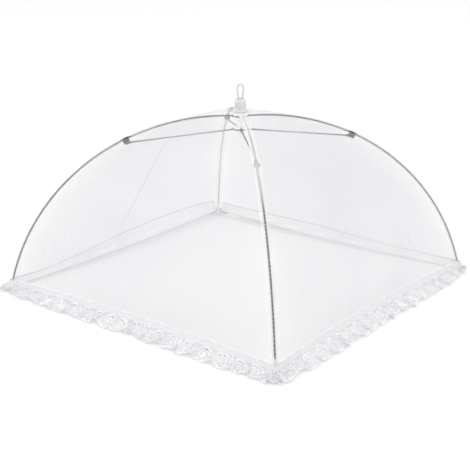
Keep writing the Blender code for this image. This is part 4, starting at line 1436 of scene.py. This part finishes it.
def make_ring(name, node, body, height):
    """A wire ring: a circle carried round a larger circle, closed both ways."""
    big, small = full_turn(RING_STEPS)[:, None], full_turn(RING_SIDES)[None, :]
    radius = RING_CIRCLE + RING_WIRE * np.cos(small)
    points = joined(radius * np.cos(big), radius * np.sin(big), height + RING_WIRE * np.sin(small))
    along = np.linspace(0, 2 * np.pi * RING_CIRCLE, RING_STEPS + 1)
    uv = wrapped_uv(along, 2 * np.pi * RING_WIRE, RING_SIDES)
    mesh = outward(as_mesh(name, np.concatenate([points, points[:1]]), uv, wrap=True), merge=True)
    mesh.shade_smooth()
    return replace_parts(add_piece(name, mesh, WIRE_STEEL, body), node)


rings = [
    make_ring("crown_wire_ring", "crown_ring", "crown", CROWN_Z),
    make_ring("runner_wire_ring", "runner_ring", "runner", RUNNER_Z),
]
print("rings", [len(ring.data.polygons) for ring in rings])

# %% [markdown]
# The loop's cord is greyer than the cap. Three strands wind round each other, and the finish adds
# the fibres that run along each strand.

# %% Pull loop
STRANDS = 3
STRAND_TURNS = 9
STRAND_VALLEY_share = 0.86
LOOP_SIDES = 30
FIBRE_STRETCH = (1.0, 0.12, 1.0)


def cord_finish():
    """Greyish patches, and a noise drawn out along the cord for its fibres."""
    material, tree, shader = new_finish("twisted_white_cord", 0.70, specular=0.25)
    place = place_of(tree, "UV")
    tint = two_tones(tree, place, size=500.0, light=(0.68, 0.68, 0.675), dark=(0.58, 0.58, 0.58), grain=0.6)
    colour_with(tree, shader, tint["Colour"])
    fibre = noise(tree, vectors(tree, "MULTIPLY", place, FIBRE_STRETCH), 5200.0, 2.0)
    bump_into(tree, shader, fibre, distance=0.00006, strength=0.7)
    return material


def strands(share, angle):
    """Three rounded lobes that turn along the cord: the largest radius is the cord's own."""
    wave = np.abs(np.cos(STRANDS / 2 * (angle + share * STRAND_TURNS * 2 * np.pi / STRANDS)))
    return STRAND_VALLEY_share + (1 - STRAND_VALLEY_share) * wave**0.7


def make_loop():
    """The cord along its route."""
    square_to = np.array([math.sin(math.radians(45)), -math.cos(math.radians(45)), 0])
    mesh = tube_mesh("pull_cord", route, LOOP_CORD / 2, LOOP_SIDES, square_to, strands)
    piece = add_piece("pull_cord", mesh, cord_finish(), "crown")
    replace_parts(piece, "pull_loop")
    return piece


print("loop cord", len(make_loop().data.polygons), "faces")

# %% [markdown]
# The hem is bound in a narrow white tape, folded over the net's edge. Its upper fold has a painted
# highlight, the brightest line on the cover, and below it the woven face is plain and smooth.

# %% Finish: woven tape
TAPE_FOLD = 0.0009


def tape_finish():
    """The weave as height and a faint painted shade in its valleys, and a painted highlight along the upper
    fold.
    """
    material, tree, shader = new_finish("woven_hem_tape", 0.72, specular=0.25)
    place = place_of(tree, "UV")
    weave = use_group(tree, WEAVE, {"Place": place, "Rib Pitch": 0.0011, "Thread Pitch": 0.0007})
    tint = two_tones(tree, place, size=45.0, light=(0.86, 0.855, 0.87), dark=(0.82, 0.815, 0.83), grain=0.4)
    from_fold = maths(tree, "PINGPONG", split(tree, place)[0], TAPE_HEIGHT)
    fold = smooth_step(tree, from_fold, TAPE_FOLD + 0.0004, TAPE_FOLD - 0.0002)
    # A lighter white along the upper fold: a painted highlight.
    bright = blended(tree, fold, tint["Colour"], (0.94, 0.94, 0.945))
    valley = maths(tree, "MULTIPLY_ADD", weave["Shade"], -0.25, 0.25)
    colour_with(tree, shader, blended(tree, valley, bright, (0.80, 0.80, 0.82), "MULTIPLY"), glow=0.12)
    bump_into(tree, shader, weave["Height"], distance=0.00025, strength=0.7)
    return material


TAPE = tape_finish()
print("tape finish", TAPE.name)

# %% [markdown]
# The tape's section is a flat oval, five millimetres high, carried along the hem from the middle
# of a side to the corner. It waves a little with the gathers of the net.

# %% Hem tape
TAPE_THICKNESS = 0.0010
TAPE_SIDES = 18
TAPE_COLUMNS = 90
TAPE_SQUARENESS = 0.6
TAPE_BULGE_share = 0.9
TAPE_WAVE = 0.00035


def half_tape(sign):
    """A flat oval about the hem's mid line: cos on the height and sin, to a low power, on the thickness."""
    reach = panel_reach(hem_share_above(TAPE_HEIGHT / 2))
    across = sign * np.linspace(0, 1, TAPE_COLUMNS + 1)[:, None] * reach
    turn = full_turn(TAPE_SIDES)[None, :]
    up = np.sign(np.cos(turn)) * np.abs(np.cos(turn)) ** TAPE_SQUARENESS
    out = np.sign(np.sin(turn)) * np.abs(np.sin(turn)) ** TAPE_SQUARENESS
    share = hem_share_above(TAPE_HEIGHT / 2 * (1 + up))
    outward_by, sideways, height = np.broadcast_arrays(*side_point(share, across))
    slope, push = rib_arc(share)[2], TAPE_THICKNESS / 2 * (1 + TAPE_BULGE_share * out)
    wave = wander(sideways, (TAPE_WAVE, 2 * np.pi / PUCKER_PITCH, 0.0))
    points = joined(outward_by + push * np.sin(slope) + wave, sideways, height + push * np.cos(slope))
    return points, np.abs(sideways[:, 0])


def make_tape(side):
    """The two lengths of tape along a side."""
    made = []
    for corner, sign in halves(side):
        points, along = half_tape(sign)
        uv = wrapped_uv(along, 2 * TAPE_HEIGHT, TAPE_SIDES)
        grid = {"wrap": True, "caps": True}
        made.append(add_half("tape", points, uv, TAPE, "white_tape", corner, side, "hem_tape", **grid))
    return made


tapes = {side: make_tape(side) for side in SIDES}
print("hem tape in", sum(len(t) for t in tapes.values()), "lengths")

# %% [markdown]
# Inside, the hem is faced with a wider strip of the same white tape, which covers the raw edge of
# the net. At the back of the photograph it is the bright band between two thin grey lines: the
# lines are painted shade along its rolled, overlocked edges, and a painted highlight marks where a
# fold along it catches the light here and there.

# %% Finish: facing
FACING_WIDTH = 0.0104
FACING_EDGE_share = 0.07
FACING_FOLD_share = 0.36
FACING_FOLD_HALF_share = 0.22
FACING_FOLD_CORE_share = 0.03


def facing_finish():
    """The weave, painted shade along the overlocked edges, and a painted highlight on a fold where the
    patches are light.
    """
    material, tree, shader = new_finish("hem_facing_tape", 0.78, specular=0.2)
    place = place_of(tree, "UV")
    up = split(tree, place)[0]
    metres = vectors(tree, "MULTIPLY", place, (FACING_WIDTH, 1.0, 1.0))
    weave = use_group(tree, WEAVE, {"Place": metres, "Rib Pitch": 0.0012, "Thread Pitch": 0.0008})
    tint = two_tones(tree, place, size=30.0, light=(0.89, 0.89, 0.895), dark=(0.83, 0.83, 0.84), grain=0.4)
    low = smooth_step(tree, up, FACING_EDGE_share, 0.5 * FACING_EDGE_share)
    high = smooth_step(tree, up, 1 - FACING_EDGE_share, 1 - 0.5 * FACING_EDGE_share)
    # The grey edges, 0.42, are painted shade along the rolled, overlocked edges.
    edge_shade = times(tree, maths(tree, "MAXIMUM", low, high), 0.8)
    from_fold = away_from(tree, up, FACING_FOLD_share)
    # The lighter white along the fold, 0.99, is a painted highlight.
    fold_highlight = smooth_step(tree, from_fold, FACING_FOLD_HALF_share, FACING_FOLD_CORE_share)
    folded = blended(tree, times(tree, fold_highlight, tint["Mask"]), tint["Colour"], (0.99, 0.99, 0.99))
    colour_with(tree, shader, blended(tree, edge_shade, folded, (0.42, 0.42, 0.44)), glow=0.17)
    bump_into(tree, shader, weave["Height"], distance=0.0002, strength=0.6)
    return material


FACING = facing_finish()
print("facing finish", FACING.name)

# %% [markdown]
# In front the facing keeps one width; behind, the photograph shows it wider, and slipped up the
# net towards the back corner. Its foot and its top are therefore given as levels in millimetres
# at five even places along a side, from the -1 end to the +1 end, and a smooth curve joins them.
# The top edge waves a little, because it is sewn by hand and eye.

# %% Hem facing
FACING_ROWS = 12
FACING_COLUMNS = 80
FACING_INSET = 0.0007
FACING_FOOT = 0.0012
FACING_WAVE = 0.0006
FACING_FOLD = 0.0016
FACING_CLOTH = 0.0003
FACING_FULL_WIDTH = 0.02
FACING_FOOTS = {"back_right": (0.0, 0.8, 2.6, 5.0, 7.2), "back_left": (7.2, 5.6, 4.0, 2.4, 0.4)}
FACING_TOPS = {"back_right": (12.5, 16.8, 22.4, 24.6, 24.0), "back_left": (26.0, 35.0, 30.5, 18.5, 13.0)}
FRONT_FOOTS = (0.0, 0.0, 0.0, 0.0, 0.0)
FRONT_TOPS = (11.6, 11.6, 11.6, 11.6, 11.6)


def facing_level(levels, across):
    """A smooth level along a side: a quartic through five even places, in millimetres, given in metres."""
    return np.polyval(np.polyfit(np.linspace(-1, 1, len(levels)), levels, 4), across) / 1000


def half_facing(side, sign):
    """A strip just inside the net: up from near the table, with v along the hem and u from 0 to 1."""
    up = np.linspace(0, 1, FACING_ROWS + 1)[:, None]
    end = 1 - 1.5 * SEAM_HALF_WIDTH / HEM_HALF_WIDTH
    across = sign * np.linspace(0, 1, FACING_COLUMNS + 1)[None, :] * end
    place = across * HEM_HALF_WIDTH
    foot = FACING_FOOT + facing_level(FACING_FOOTS.get(side, FRONT_FOOTS), across)
    wave = FACING_WAVE * wander(place, (1.0, 31.0, 0.6), (0.5, 74.0, 0.0))
    top = facing_level(FACING_TOPS.get(side, FRONT_TOPS), across) + wave
    level = foot + (top - foot) * up
    share = hem_share_above(level - HEM_HEIGHT)
    outward_by, sideways, _ = side_point(share, across)
    fold = FACING_FOLD * np.sin(np.pi * up) ** 2 * (0.6 + wander(place, (0.4, 52.0, 1.0)))
    inset = FACING_INSET + fold * np.clip((top - foot) / FACING_FULL_WIDTH, 0, 1)
    return joined(outward_by - inset * np.sin(rib_arc(share)[2]), sideways, level), joined(up, np.abs(place))


def make_facing(side):
    """The two lengths of facing inside a side."""
    made = []
    for corner, sign in halves(side):
        points, uv = half_facing(side, sign)
        piece = add_half("facing", points, uv, FACING, "white_tape", corner, side, flip=sign > 0)
        made.append(give_thickness(piece, FACING_CLOTH))
    return made


facings = {side: make_facing(side) for side in SIDES}
print("facing in", sum(len(f) for f in facings.values()), "lengths")

# %% [markdown]
# The lace is knitted with a repeating scallop: a plain strip to sew it on by, a fine ground, a
# cord that arches round each lobe, a row of holes inside it, a small rosette in the lobe's middle
# and a solid edge. The motif is a formula of the place in the lobe, so it follows every ruffle
# without any picture. Each ring is a middle radius, a half width and a softness, in shares of a
# scallop's width.

# %% Group: scallop lace
GROUND_PITCH = 0.0017
LOBE_MIDDLE_share = 0.57
LOBE_TALLNESS = 1.15
ARCH_shares = (0.40, 0.030, 0.02)
INNER_RING_shares = (0.25, 0.022, 0.02)
SPOKE_RING_shares = (0.325, 0.06, 0.01)
HOLE_RING_shares = (0.325, 0.023, 0.01)
POST_shares = (0.47, 0.02, 0.015)
SPOKES = 15.0
PETALS = 6.0
PETAL_SWING_share = 0.035
ROSETTE_share = 0.125


def build_lace():
    """Thread and height of one scallop, repeated along U. U counts scallops and V runs 0 to 1."""
    group, given, out = new_group(
        "scallop_lace",
        {"Place": "vector", "Ground Place": "vector", "Ground Level": "value"},
        {"Thread": "value", "Height": "value", "Cord": "value", "Strip": "value"},
    )

    def band(value, shares):
        middle, half, soft = shares
        return smooth_step(group, away_from(group, value, middle), half + soft, half)

    def either(one, other):
        return maths(group, "MAXIMUM", one, other)

    def turned(count):
        return maths(group, "COSINE", times(group, angle, count))

    parts = split(group, given["Place"])
    x, v = less(group, maths(group, "FRACT", parts[0]), 0.5), parts[1]
    y = times(group, less(group, v, LOBE_MIDDLE_share), LOBE_TALLNESS)
    r = maths(group, "SQRT", maths(group, "ADD", times(group, x, x), times(group, y, y)))
    angle = maths(group, "ARCTAN2", y, x)
    inputs = {"Place": given["Ground Place"], "Pitch": GROUND_PITCH, "Level": given["Ground Level"]}
    ground = use_group(group, HONEYCOMB, inputs)
    arches = either(band(r, ARCH_shares), band(r, INNER_RING_shares))
    spokes = times(group, band(r, SPOKE_RING_shares), smooth_step(group, turned(SPOKES), 0.1, 0.5))
    petals = maths(group, "MULTIPLY_ADD", turned(PETALS), PETAL_SWING_share, ROSETTE_share)
    rosette = smooth_step(group, less(group, r, petals), 0.015, -0.01)
    eyelet = smooth_step(group, r, 0.035, 0.05)
    strip = smooth_step(group, v, 0.24, 0.20)
    rim = smooth_step(group, v, 0.925, 0.945)
    post = times(group, band(maths(group, "ABSOLUTE", x), POST_shares), smooth_step(group, v, 0.2, 0.3))
    cords = either(arches, either(either(spokes, rosette), either(rim, post)))
    holes = times(group, band(r, HOLE_RING_shares), less(group, 1.0, spokes))
    clear = times(group, less(group, 1.0, holes), eyelet)
    knitted = times(group, either(cords, ground["Thread"]), either(clear, rim))
    height = maths(group, "MULTIPLY_ADD", cords, 0.6, times(group, ground["Height"], 0.4))
    made = {"Thread": either(knitted, strip), "Strip": strip, "Height": height, "Cord": cords}
    for title, result in made.items():
        group.links.new(result, out[title])
    return group


LACE_PATTERN = build_lace()
print("lace pattern", len(LACE_PATTERN.nodes), "nodes")

# %% [markdown]
# Soft lace never lies true to its pattern. A slow noise pulls the motif along by up to a fifth of
# a scallop and across by a tenth of the reach. The cords are a little lighter than the ground, and
# the plain strip is greyer, because it lies in the tape's shade.

# %% Finish: lace
LACE_PULL = (0.42, 0.20, 0.0)
LACE_PULLS_PER_METRE = 95.0
LACE_GROUND_LEVEL = -0.15
LACE_CORD_LIFT = 0.4


def lace_finish():
    """The pattern on the pulled place as Alpha, and three whites for ground, cords and strip."""
    material, tree, shader = new_finish("knitted_scallop_lace", 0.78, specular=0.2)
    metres = attribute(tree, "cut", "Vector")
    uneven = noise(tree, metres, LACE_PULLS_PER_METRE, 1.0, "Color")
    pull = vectors(tree, "MULTIPLY_ADD", uneven, LACE_PULL, [-0.5 * pull for pull in LACE_PULL])
    pulled = vectors(tree, "ADD", place_of(tree, "UV"), pull)
    inputs = {"Place": pulled, "Ground Place": metres, "Ground Level": LACE_GROUND_LEVEL}
    lace = use_group(tree, LACE_PATTERN, inputs)
    whites = {"light": (0.84, 0.84, 0.855), "dark": (0.76, 0.755, 0.81)}
    tint = two_tones(tree, place_of(tree, "Object"), size=28.0, grain=0.5, **whites)
    lifted = blended(tree, times(tree, lace["Cord"], LACE_CORD_LIFT), tint["Colour"], (0.88, 0.88, 0.89))
    colour_with(tree, shader, blended(tree, lace["Strip"], lifted, (0.73, 0.725, 0.745)), glow=0.08)
    tree.links.new(lace["Thread"], shader.inputs["Alpha"])
    bump_into(tree, shader, lace["Height"], distance=0.0005, strength=0.8)
    return material


LACE = lace_finish()
print("lace finish", LACE.name)

# %% [markdown]
# The lace is sewn on the tape's outer face, drops to the table and lies outwards on it. It is
# longer than the hem, so it stands in ruffles that grow towards its edge and lean over here and
# there. Waves with unlike pitches keep any two sides from matching. Its edge is cut in lobes, each
# with small loops of thread along it, and at the corners it is drawn in.

# %% Lace trim
LACE_THREAD = 0.00035
LACE_REACH = 0.0290
LACE_CORNER_REACHES = {"front": 0.0150, "right": 0.0095, "back": 0.0120, "left": 0.0125}
LACE_FLOOR = 0.0006
LACE_OVERLAP = 0.0036
LACE_START = 0.0006
LACE_SCALLOPS = 20
LACE_SCALLOP_DEPTH = 0.0034
LACE_LOOP_DEPTH = 0.0021
LACE_LOOPS_PER_SCALLOP = 5
LACE_DRIFT = 0.30
LACE_UNEVEN = 0.0022
LACE_RUFFLE = 0.0046
LACE_RUFFLE_DRAW_share = 0.10
LACE_LEAN = 0.0030
LACE_ROWS = 26
LACE_COLUMNS = 200
RUFFLE_PITCHES = (0.0230, 0.0410, 0.0093)
RUFFLE_shares = (0.33, 0.24, 0.15)
SIDE_phases = {"front_left": 0.0, "front_right": 1.7, "back_right": 3.1, "back_left": 4.6}


def ruffle(sideways, phase):
    """Waves of the place along the hem, 23, 41 and 9 mm apart, with a drifting pitch: 0 to 1."""
    drift = wander(sideways, (1.3, 37.0, phase), (0.8, 83.0, 2 * phase))
    starts = (drift + phase, 2.3 * phase - drift, 2 * drift)
    rates = [2 * np.pi / pitch for pitch in RUFFLE_PITCHES]
    return np.clip(0.5 + wander(sideways, *zip(RUFFLE_shares, rates, starts)), 0, 1)


def notches(count):
    """0 at the middle of each lobe and 1 in the notches between lobes, where count is whole."""
    return 1 - np.abs(np.sin(np.pi * count))


def half_lace(sign, phase, corner_reach):
    """From the tape's face, down in a parabola and outward by the reach, which the lobes modulate.

    Points, the pattern's count of scallops and share of the reach, and the place in the flat cut.
    """
    out = np.linspace(0, 1, LACE_ROWS + 1)[:, None]
    across = sign * np.linspace(0, 1, LACE_COLUMNS + 1)[None, :]
    hem_outward, along, hem_height = side_point(1.0, across)
    lobe = across * LACE_SCALLOPS / 2 + wander(along, (LACE_DRIFT, 29.0, phase))
    reach = corner_reach + (LACE_REACH - corner_reach) * (1 - across**4)
    reach = reach - LACE_UNEVEN * (0.5 + wander(along, (0.5, 131.0, 3 * phase)))
    reach = reach - LACE_SCALLOP_DEPTH * notches(lobe)
    reach = reach - LACE_LOOP_DEPTH * notches(lobe * LACE_LOOPS_PER_SCALLOP)
    push, grown = ruffle(along, phase), eased(out)
    lean = wander(along, (LACE_LEAN, 2 * np.pi / RUFFLE_PITCHES[0], phase + 1.1)) * (1 - across**8)
    outward_by = hem_outward + LACE_START + reach * out * (1 - LACE_RUFFLE_DRAW_share * push * grown)
    sideways = across * (HEM_HALF_WIDTH + LACE_START + reach[:, -1:] * out) + lean * grown
    fall = (hem_height + LACE_OVERLAP - LACE_FLOOR) * (1 - out) ** 2
    height = LACE_FLOOR + fall + LACE_RUFFLE * push * grown * (1 - 0.5 * across**8)
    points = joined(outward_by, sideways, height)
    return points, joined(lobe + LACE_SCALLOPS, out), joined(along, out * LACE_REACH, 0.0)


def put_cut_place(mesh, metres):
    """The place of each point in the flat cut, in metres, for the lace's ground and its pull."""
    layer = mesh.attributes.new("cut", "FLOAT_VECTOR", "POINT")
    layer.data.foreach_set("vector", metres.astype(np.float32).ravel())


def make_lace(side):
    """The two lengths of lace along a side."""
    made = []
    for corner, sign in halves(side):
        points, uv, metres = half_lace(sign, SIDE_phases[side], LACE_CORNER_REACHES[corner])
        piece = add_half("lace", points, uv, LACE, "white_lace", corner, side, "lace_trim", flip=sign < 0)
        put_cut_place(piece.data, metres)
        made.append((give_thickness(piece, LACE_THREAD), corner, flat_area(points)))
    return made


laces = {side: make_lace(side) for side in SIDES}
print("lace half", round(laces["front_left"][0][2] * 1e4, 1), "square centimetres")

# %% [markdown]
# At a corner the lace has to turn, so there is too much of it: it piles up in a small fan of deep,
# close ruffles over the join of the two sides. The fan is worked out in polar coordinates about the
# corner of the hem, and it rides on its rib.

# %% Corner frills
FRILL_START = 0.0022
FRILL_REACH = 0.0215
FRILL_REACH_shares = {"front": 1.0, "right": 0.62, "back": 0.70, "left": 0.78}
FRILL_UNEVEN_share = 0.16
FRILL_SCALLOP_share = 0.6
FRILL_HALF_TURN = math.radians(104)
FRILL_FLOOR = 0.0016
FRILL_TOP = 0.0108
FRILL_RUFFLE = 0.0030
FRILL_WAVES = 8.0
FRILL_LEAN = 0.10
FRILL_LOBES = 7
FRILL_TURN_STEPS = 180
FRILL_ROWS = 20


def frill_points(corner):
    """Out along each ray by the reach, down in a parabola, and up again in ruffles that grow outwards."""
    out = np.linspace(0, 1, FRILL_ROWS + 1)[:, None]
    ray = np.linspace(-FRILL_HALF_TURN, FRILL_HALF_TURN, FRILL_TURN_STEPS + 1)[None, :]
    phase = 1.3 * list(CORNERS).index(corner)
    lobe = ray / (2 * FRILL_HALF_TURN) * FRILL_LOBES
    uneven = 1 - FRILL_UNEVEN_share * np.cos(ray * 2 + phase) ** 2
    reach = FRILL_REACH * FRILL_REACH_shares[corner] * uneven
    reach = reach - LACE_SCALLOP_DEPTH * FRILL_SCALLOP_share * notches(lobe)
    reach = reach - LACE_LOOP_DEPTH * notches(lobe * LACE_LOOPS_PER_SCALLOP)
    wave = 0.5 + 0.5 * np.sin(ray * FRILL_WAVES + phase + 0.9 * np.sin(2 * ray))
    grown = eased(out)
    leaned = ray + FRILL_LEAN * np.cos(ray * FRILL_WAVES + phase) * grown
    radius = FRILL_START + (reach - FRILL_START) * out
    z = FRILL_FLOOR + (FRILL_TOP - FRILL_FLOOR) * (1 - out) ** 2 + FRILL_RUFFLE * wave * grown
    points = joined(HALF_DIAGONAL + radius * np.cos(leaned), radius * np.sin(leaned), z)
    metres = joined(ray * FRILL_REACH, out * FRILL_REACH, 0.0)
    return points, joined(lobe + FRILL_LOBES, 0.2 + 0.8 * out), metres


def make_frill(corner):
    """The fan at a corner, and what it was cut to."""
    points, counted, metres = frill_points(corner)
    name = f"lace_corner_{corner}"
    mesh = as_mesh(name, in_corner(points, corner), counted)
    put_cut_place(mesh, metres)
    piece = give_thickness(add_piece(name, mesh, LACE, f"rib_{corner}"), LACE_THREAD)
    return piece


frills = [make_frill(corner) for corner in CORNERS]
print("corner frills", len(frills))

# %% [markdown]
# Each rib's tip sits in a small pocket of the same tape, gathered in round the wire at the top.
# The pocket is a lofted bag: a flattened round section that swells and then closes on the wire.

# %% Corner pockets
POCKET_RADIUS = 0.0034
POCKET_TOP = 0.0088
POCKET_ROWS = 26
POCKET_STEPS = 36
POCKET_MOUTH = 0.0003
POCKET_START_share = 0.14
POCKET_FLATTENING = 1.25
POCKET_GATHERS = 9
POCKET_GATHER_share = 0.06


def pocket_points():
    """Height runs up the rib's tip. The radius is a swelling sine, with gathers near the mouth."""
    share, turn = np.linspace(0, 1, POCKET_ROWS)[:, None], full_turn(POCKET_STEPS)[None, :]
    swell = np.sin(np.pi * np.clip(share * (1 - POCKET_START_share) + POCKET_START_share, 0, 1)) ** 0.5
    radius = RIB_RADIUS + POCKET_MOUTH + (POCKET_RADIUS - RIB_RADIUS) * swell
    radius = radius * (1 + POCKET_GATHER_share * share * np.cos(POCKET_GATHERS * turn))
    height = POCKET_TOP * share
    centre = HALF_DIAGONAL + (HEM_HEIGHT - height) / math.tan(SLOPE_AT_HEM)
    return joined(centre + radius * np.cos(turn), radius * POCKET_FLATTENING * np.sin(turn), height)


def make_pocket(corner):
    """The pocket on a rib's tip."""
    points = pocket_points()
    uv = wrapped_uv(np.linspace(0, POCKET_TOP, POCKET_ROWS), 2 * np.pi * POCKET_RADIUS, POCKET_STEPS)
    name = f"rib_pocket_{corner}"
    mesh = outward(as_mesh(name, in_corner(points, corner), uv, wrap=True, caps=True))
    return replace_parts(add_piece(name, mesh, TAPE, f"rib_{corner}"), f"corner_pocket_{corner}")


pockets = {corner: make_pocket(corner) for corner in CORNERS}
print("pockets", [len(p.data.polygons) for p in pockets.values()])

# %% [markdown]
# Thread stitches tie the seam to the wire. Each is a short half hoop over the wire, two threads
# side by side, and they repeat every four millimetres from below the clip to the hem. There are
# hundreds, so each thread has only five sides and is closed with one face at each end.

# %% Stitches
STITCH_PITCH = 0.0042
STITCH_THREAD = 0.00015
STITCH_SPREAD = 0.00026
STITCH_HALF = 0.0019
STITCH_SINK = 0.0006
STITCH_STEPS = 7
STITCH_SIDES = 5
STITCH_FROM_share = 0.46
STITCH_TO_share = 0.965


def stitch_points():
    """All stitches of one rib at once: (stitch, step over the wire, side of the thread, xyz)."""
    count = int((STITCH_TO_share - STITCH_FROM_share) * RIB_LENGTH / STITCH_PITCH)
    place = np.linspace(STITCH_FROM_share, STITCH_TO_share, count)
    shift = np.array([-1, 1]) * STITCH_SPREAD / RIB_LENGTH
    share = (place[:, None] + shift[None, :]).ravel()[:, None, None]
    over = np.radians(np.linspace(-90, 90, STITCH_STEPS))[None, :, None]
    turn = full_turn(STITCH_SIDES)[None, None, :]
    radius, height = net_profile(share)
    slope = rib_arc(share)[2]
    lift = NET_THREAD + STITCH_THREAD * (0.4 + np.sin(turn)) + (np.cos(over) - 1) * STITCH_SINK
    x = radius + lift * np.sin(slope) + STITCH_THREAD * np.cos(turn) * np.cos(slope)
    z = height + lift * np.cos(slope) - STITCH_THREAD * np.cos(turn) * np.sin(slope)
    return joined(x, STITCH_HALF * np.sin(over), z)


def make_stitches(corner):
    """One mesh for the stitches of a rib: rings of quads, and a face at each end of each thread."""
    points = in_corner(stitch_points(), corner)
    count, steps, sides = points.shape[:3]
    s, i, j = np.meshgrid(np.arange(count), np.arange(steps - 1), np.arange(sides), indexing="ij")
    here, right = (s * steps + i) * sides, (j + 1) % sides
    quads = joined(here + j, here + sides + j, here + sides + right, here + right)
    ends = np.arange(count)[:, None] * steps * sides + np.arange(sides)[None, :]
    faces = quads.reshape(-1, 4).tolist() + ends.tolist() + (ends + (steps - 1) * sides)[:, ::-1].tolist()
    mesh = bpy.data.meshes.new(f"stitches_{corner}")
    mesh.from_pydata(points.reshape(-1, 3), [], faces)
    outward(mesh)
    mesh.uv_layers.new(name="UVMap")
    mesh.shade_smooth()
    return add_piece(f"stitches_{corner}", mesh, TAPE, f"rib_{corner}")


stitches = {corner: make_stitches(corner) for corner in CORNERS}
print("stitches", len(stitches["front"].data.polygons), "faces a rib")

# %% [markdown]
# A panel half is a gore, as wide as half the hem and as long as the rib; the lace is gathered; the
# seam bands are stretched over the ribs.

# %% Cloth facts
print("cloth: gores, gathered lace and stretched seam bands")

# %% [markdown]
# The table is a plain pale plane. To the camera it is white with only a soft shadow, and to the
# cover it is an ordinary pale surface that returns some light from below.

# %% Table
TABLE_HALF = 6.0
TABLE_DROP = 0.0002
TABLE_WHITE = 0.44
TABLE_SHADOW = 0.52
TABLE_PALE = 0.88


def seen_directly(tree):
    """1 for the camera, and for reflections and glass, so that shiny wire sees the same white."""
    path = put(tree, "ShaderNodeLightPath").outputs
    sharp = maths(tree, "MAXIMUM", path["Is Glossy Ray"], path["Is Transmission Ray"])
    return maths(tree, "MAXIMUM", path["Is Camera Ray"], sharp)


def make_table():
    """A square plane just under the cover. A part of what is seen directly is its own light."""
    mesh = bpy.data.meshes.new("table")
    s = TABLE_HALF
    mesh.from_pydata([(-s, -s, 0), (s, -s, 0), (s, s, 0), (-s, s, 0)], [], [(0, 1, 2, 3)])
    table = new_object("table", mesh)
    table.location.z = -TABLE_DROP
    material = bpy.data.materials.new("pale_table")
    material.use_nodes = True
    tree = material.node_tree
    tree.nodes.clear()
    plain, shadow = [
        put(tree, "ShaderNodeBsdfDiffuse", None, {"Color": (grey, grey, grey, 1)}).outputs[0]
        for grey in (TABLE_PALE, TABLE_SHADOW)
    ]
    white = put(tree, "ShaderNodeEmission", None, {"Color": (1, 1, 1, 1), "Strength": TABLE_WHITE}).outputs[0]
    seen = put(tree, "ShaderNodeAddShader", None, {0: shadow, 1: white}).outputs[0]
    mix = put(tree, "ShaderNodeMixShader", None, {0: seen_directly(tree), 1: plain, 2: seen}).outputs[0]
    put(tree, "ShaderNodeOutputMaterial", None, {0: mix})
    mesh.materials.append(material)
    return table


make_table()
print("table", TABLE_HALF * 2, "m square")

# %% [markdown]
# The light is a pale room and four soft panels: a key from the upper left, as the cap's darker
# right side shows, weaker ones on the right and behind, and one overhead that brightens the cap's
# top. Each has a place, a width in metres and a power in watts. Together they light a level
# surface at a little over its written colour.

# %% Light
ROOM_LIGHT = 0.88
PANELS = (
    ("key", (-4.0, -3.8, 5.8), 4.4, 60.0),
    ("fill", (5.2, -2.4, 5.6), 4.4, 45.0),
    ("back", (2.2, 5.5, 4.5), 4.0, 36.0),
    ("top", (-0.5, -0.3, 6.5), 3.0, 72.0),
)


def make_light():
    """A room that is white where it is seen directly, and the panels, each turned to the cover."""
    world = bpy.data.worlds.new("room")
    bpy.context.scene.world = world
    world.use_nodes = True
    tree = world.node_tree
    background = tree.nodes["Background"]
    background.inputs["Color"].default_value = (1.0, 1.0, 1.0, 1)
    strength = maths(tree, "MULTIPLY_ADD", seen_directly(tree), 1.0 - ROOM_LIGHT, ROOM_LIGHT)
    tree.links.new(strength, background.inputs["Strength"])
    for name, place, size, power in PANELS:
        lamp = new_object(name, bpy.data.lights.new(name, "AREA"))
        lamp.data.size = size
        lamp.data.energy = power
        lamp.location = place
        lamp.rotation_euler = (-Vector(place)).to_track_quat("-Z", "Y").to_euler()


make_light()
bpy.context.scene.view_settings.view_transform = "Standard"
bpy.context.scene.cycles.transparent_max_bounces = 32
print("lamps", [name for name, *_ in PANELS])
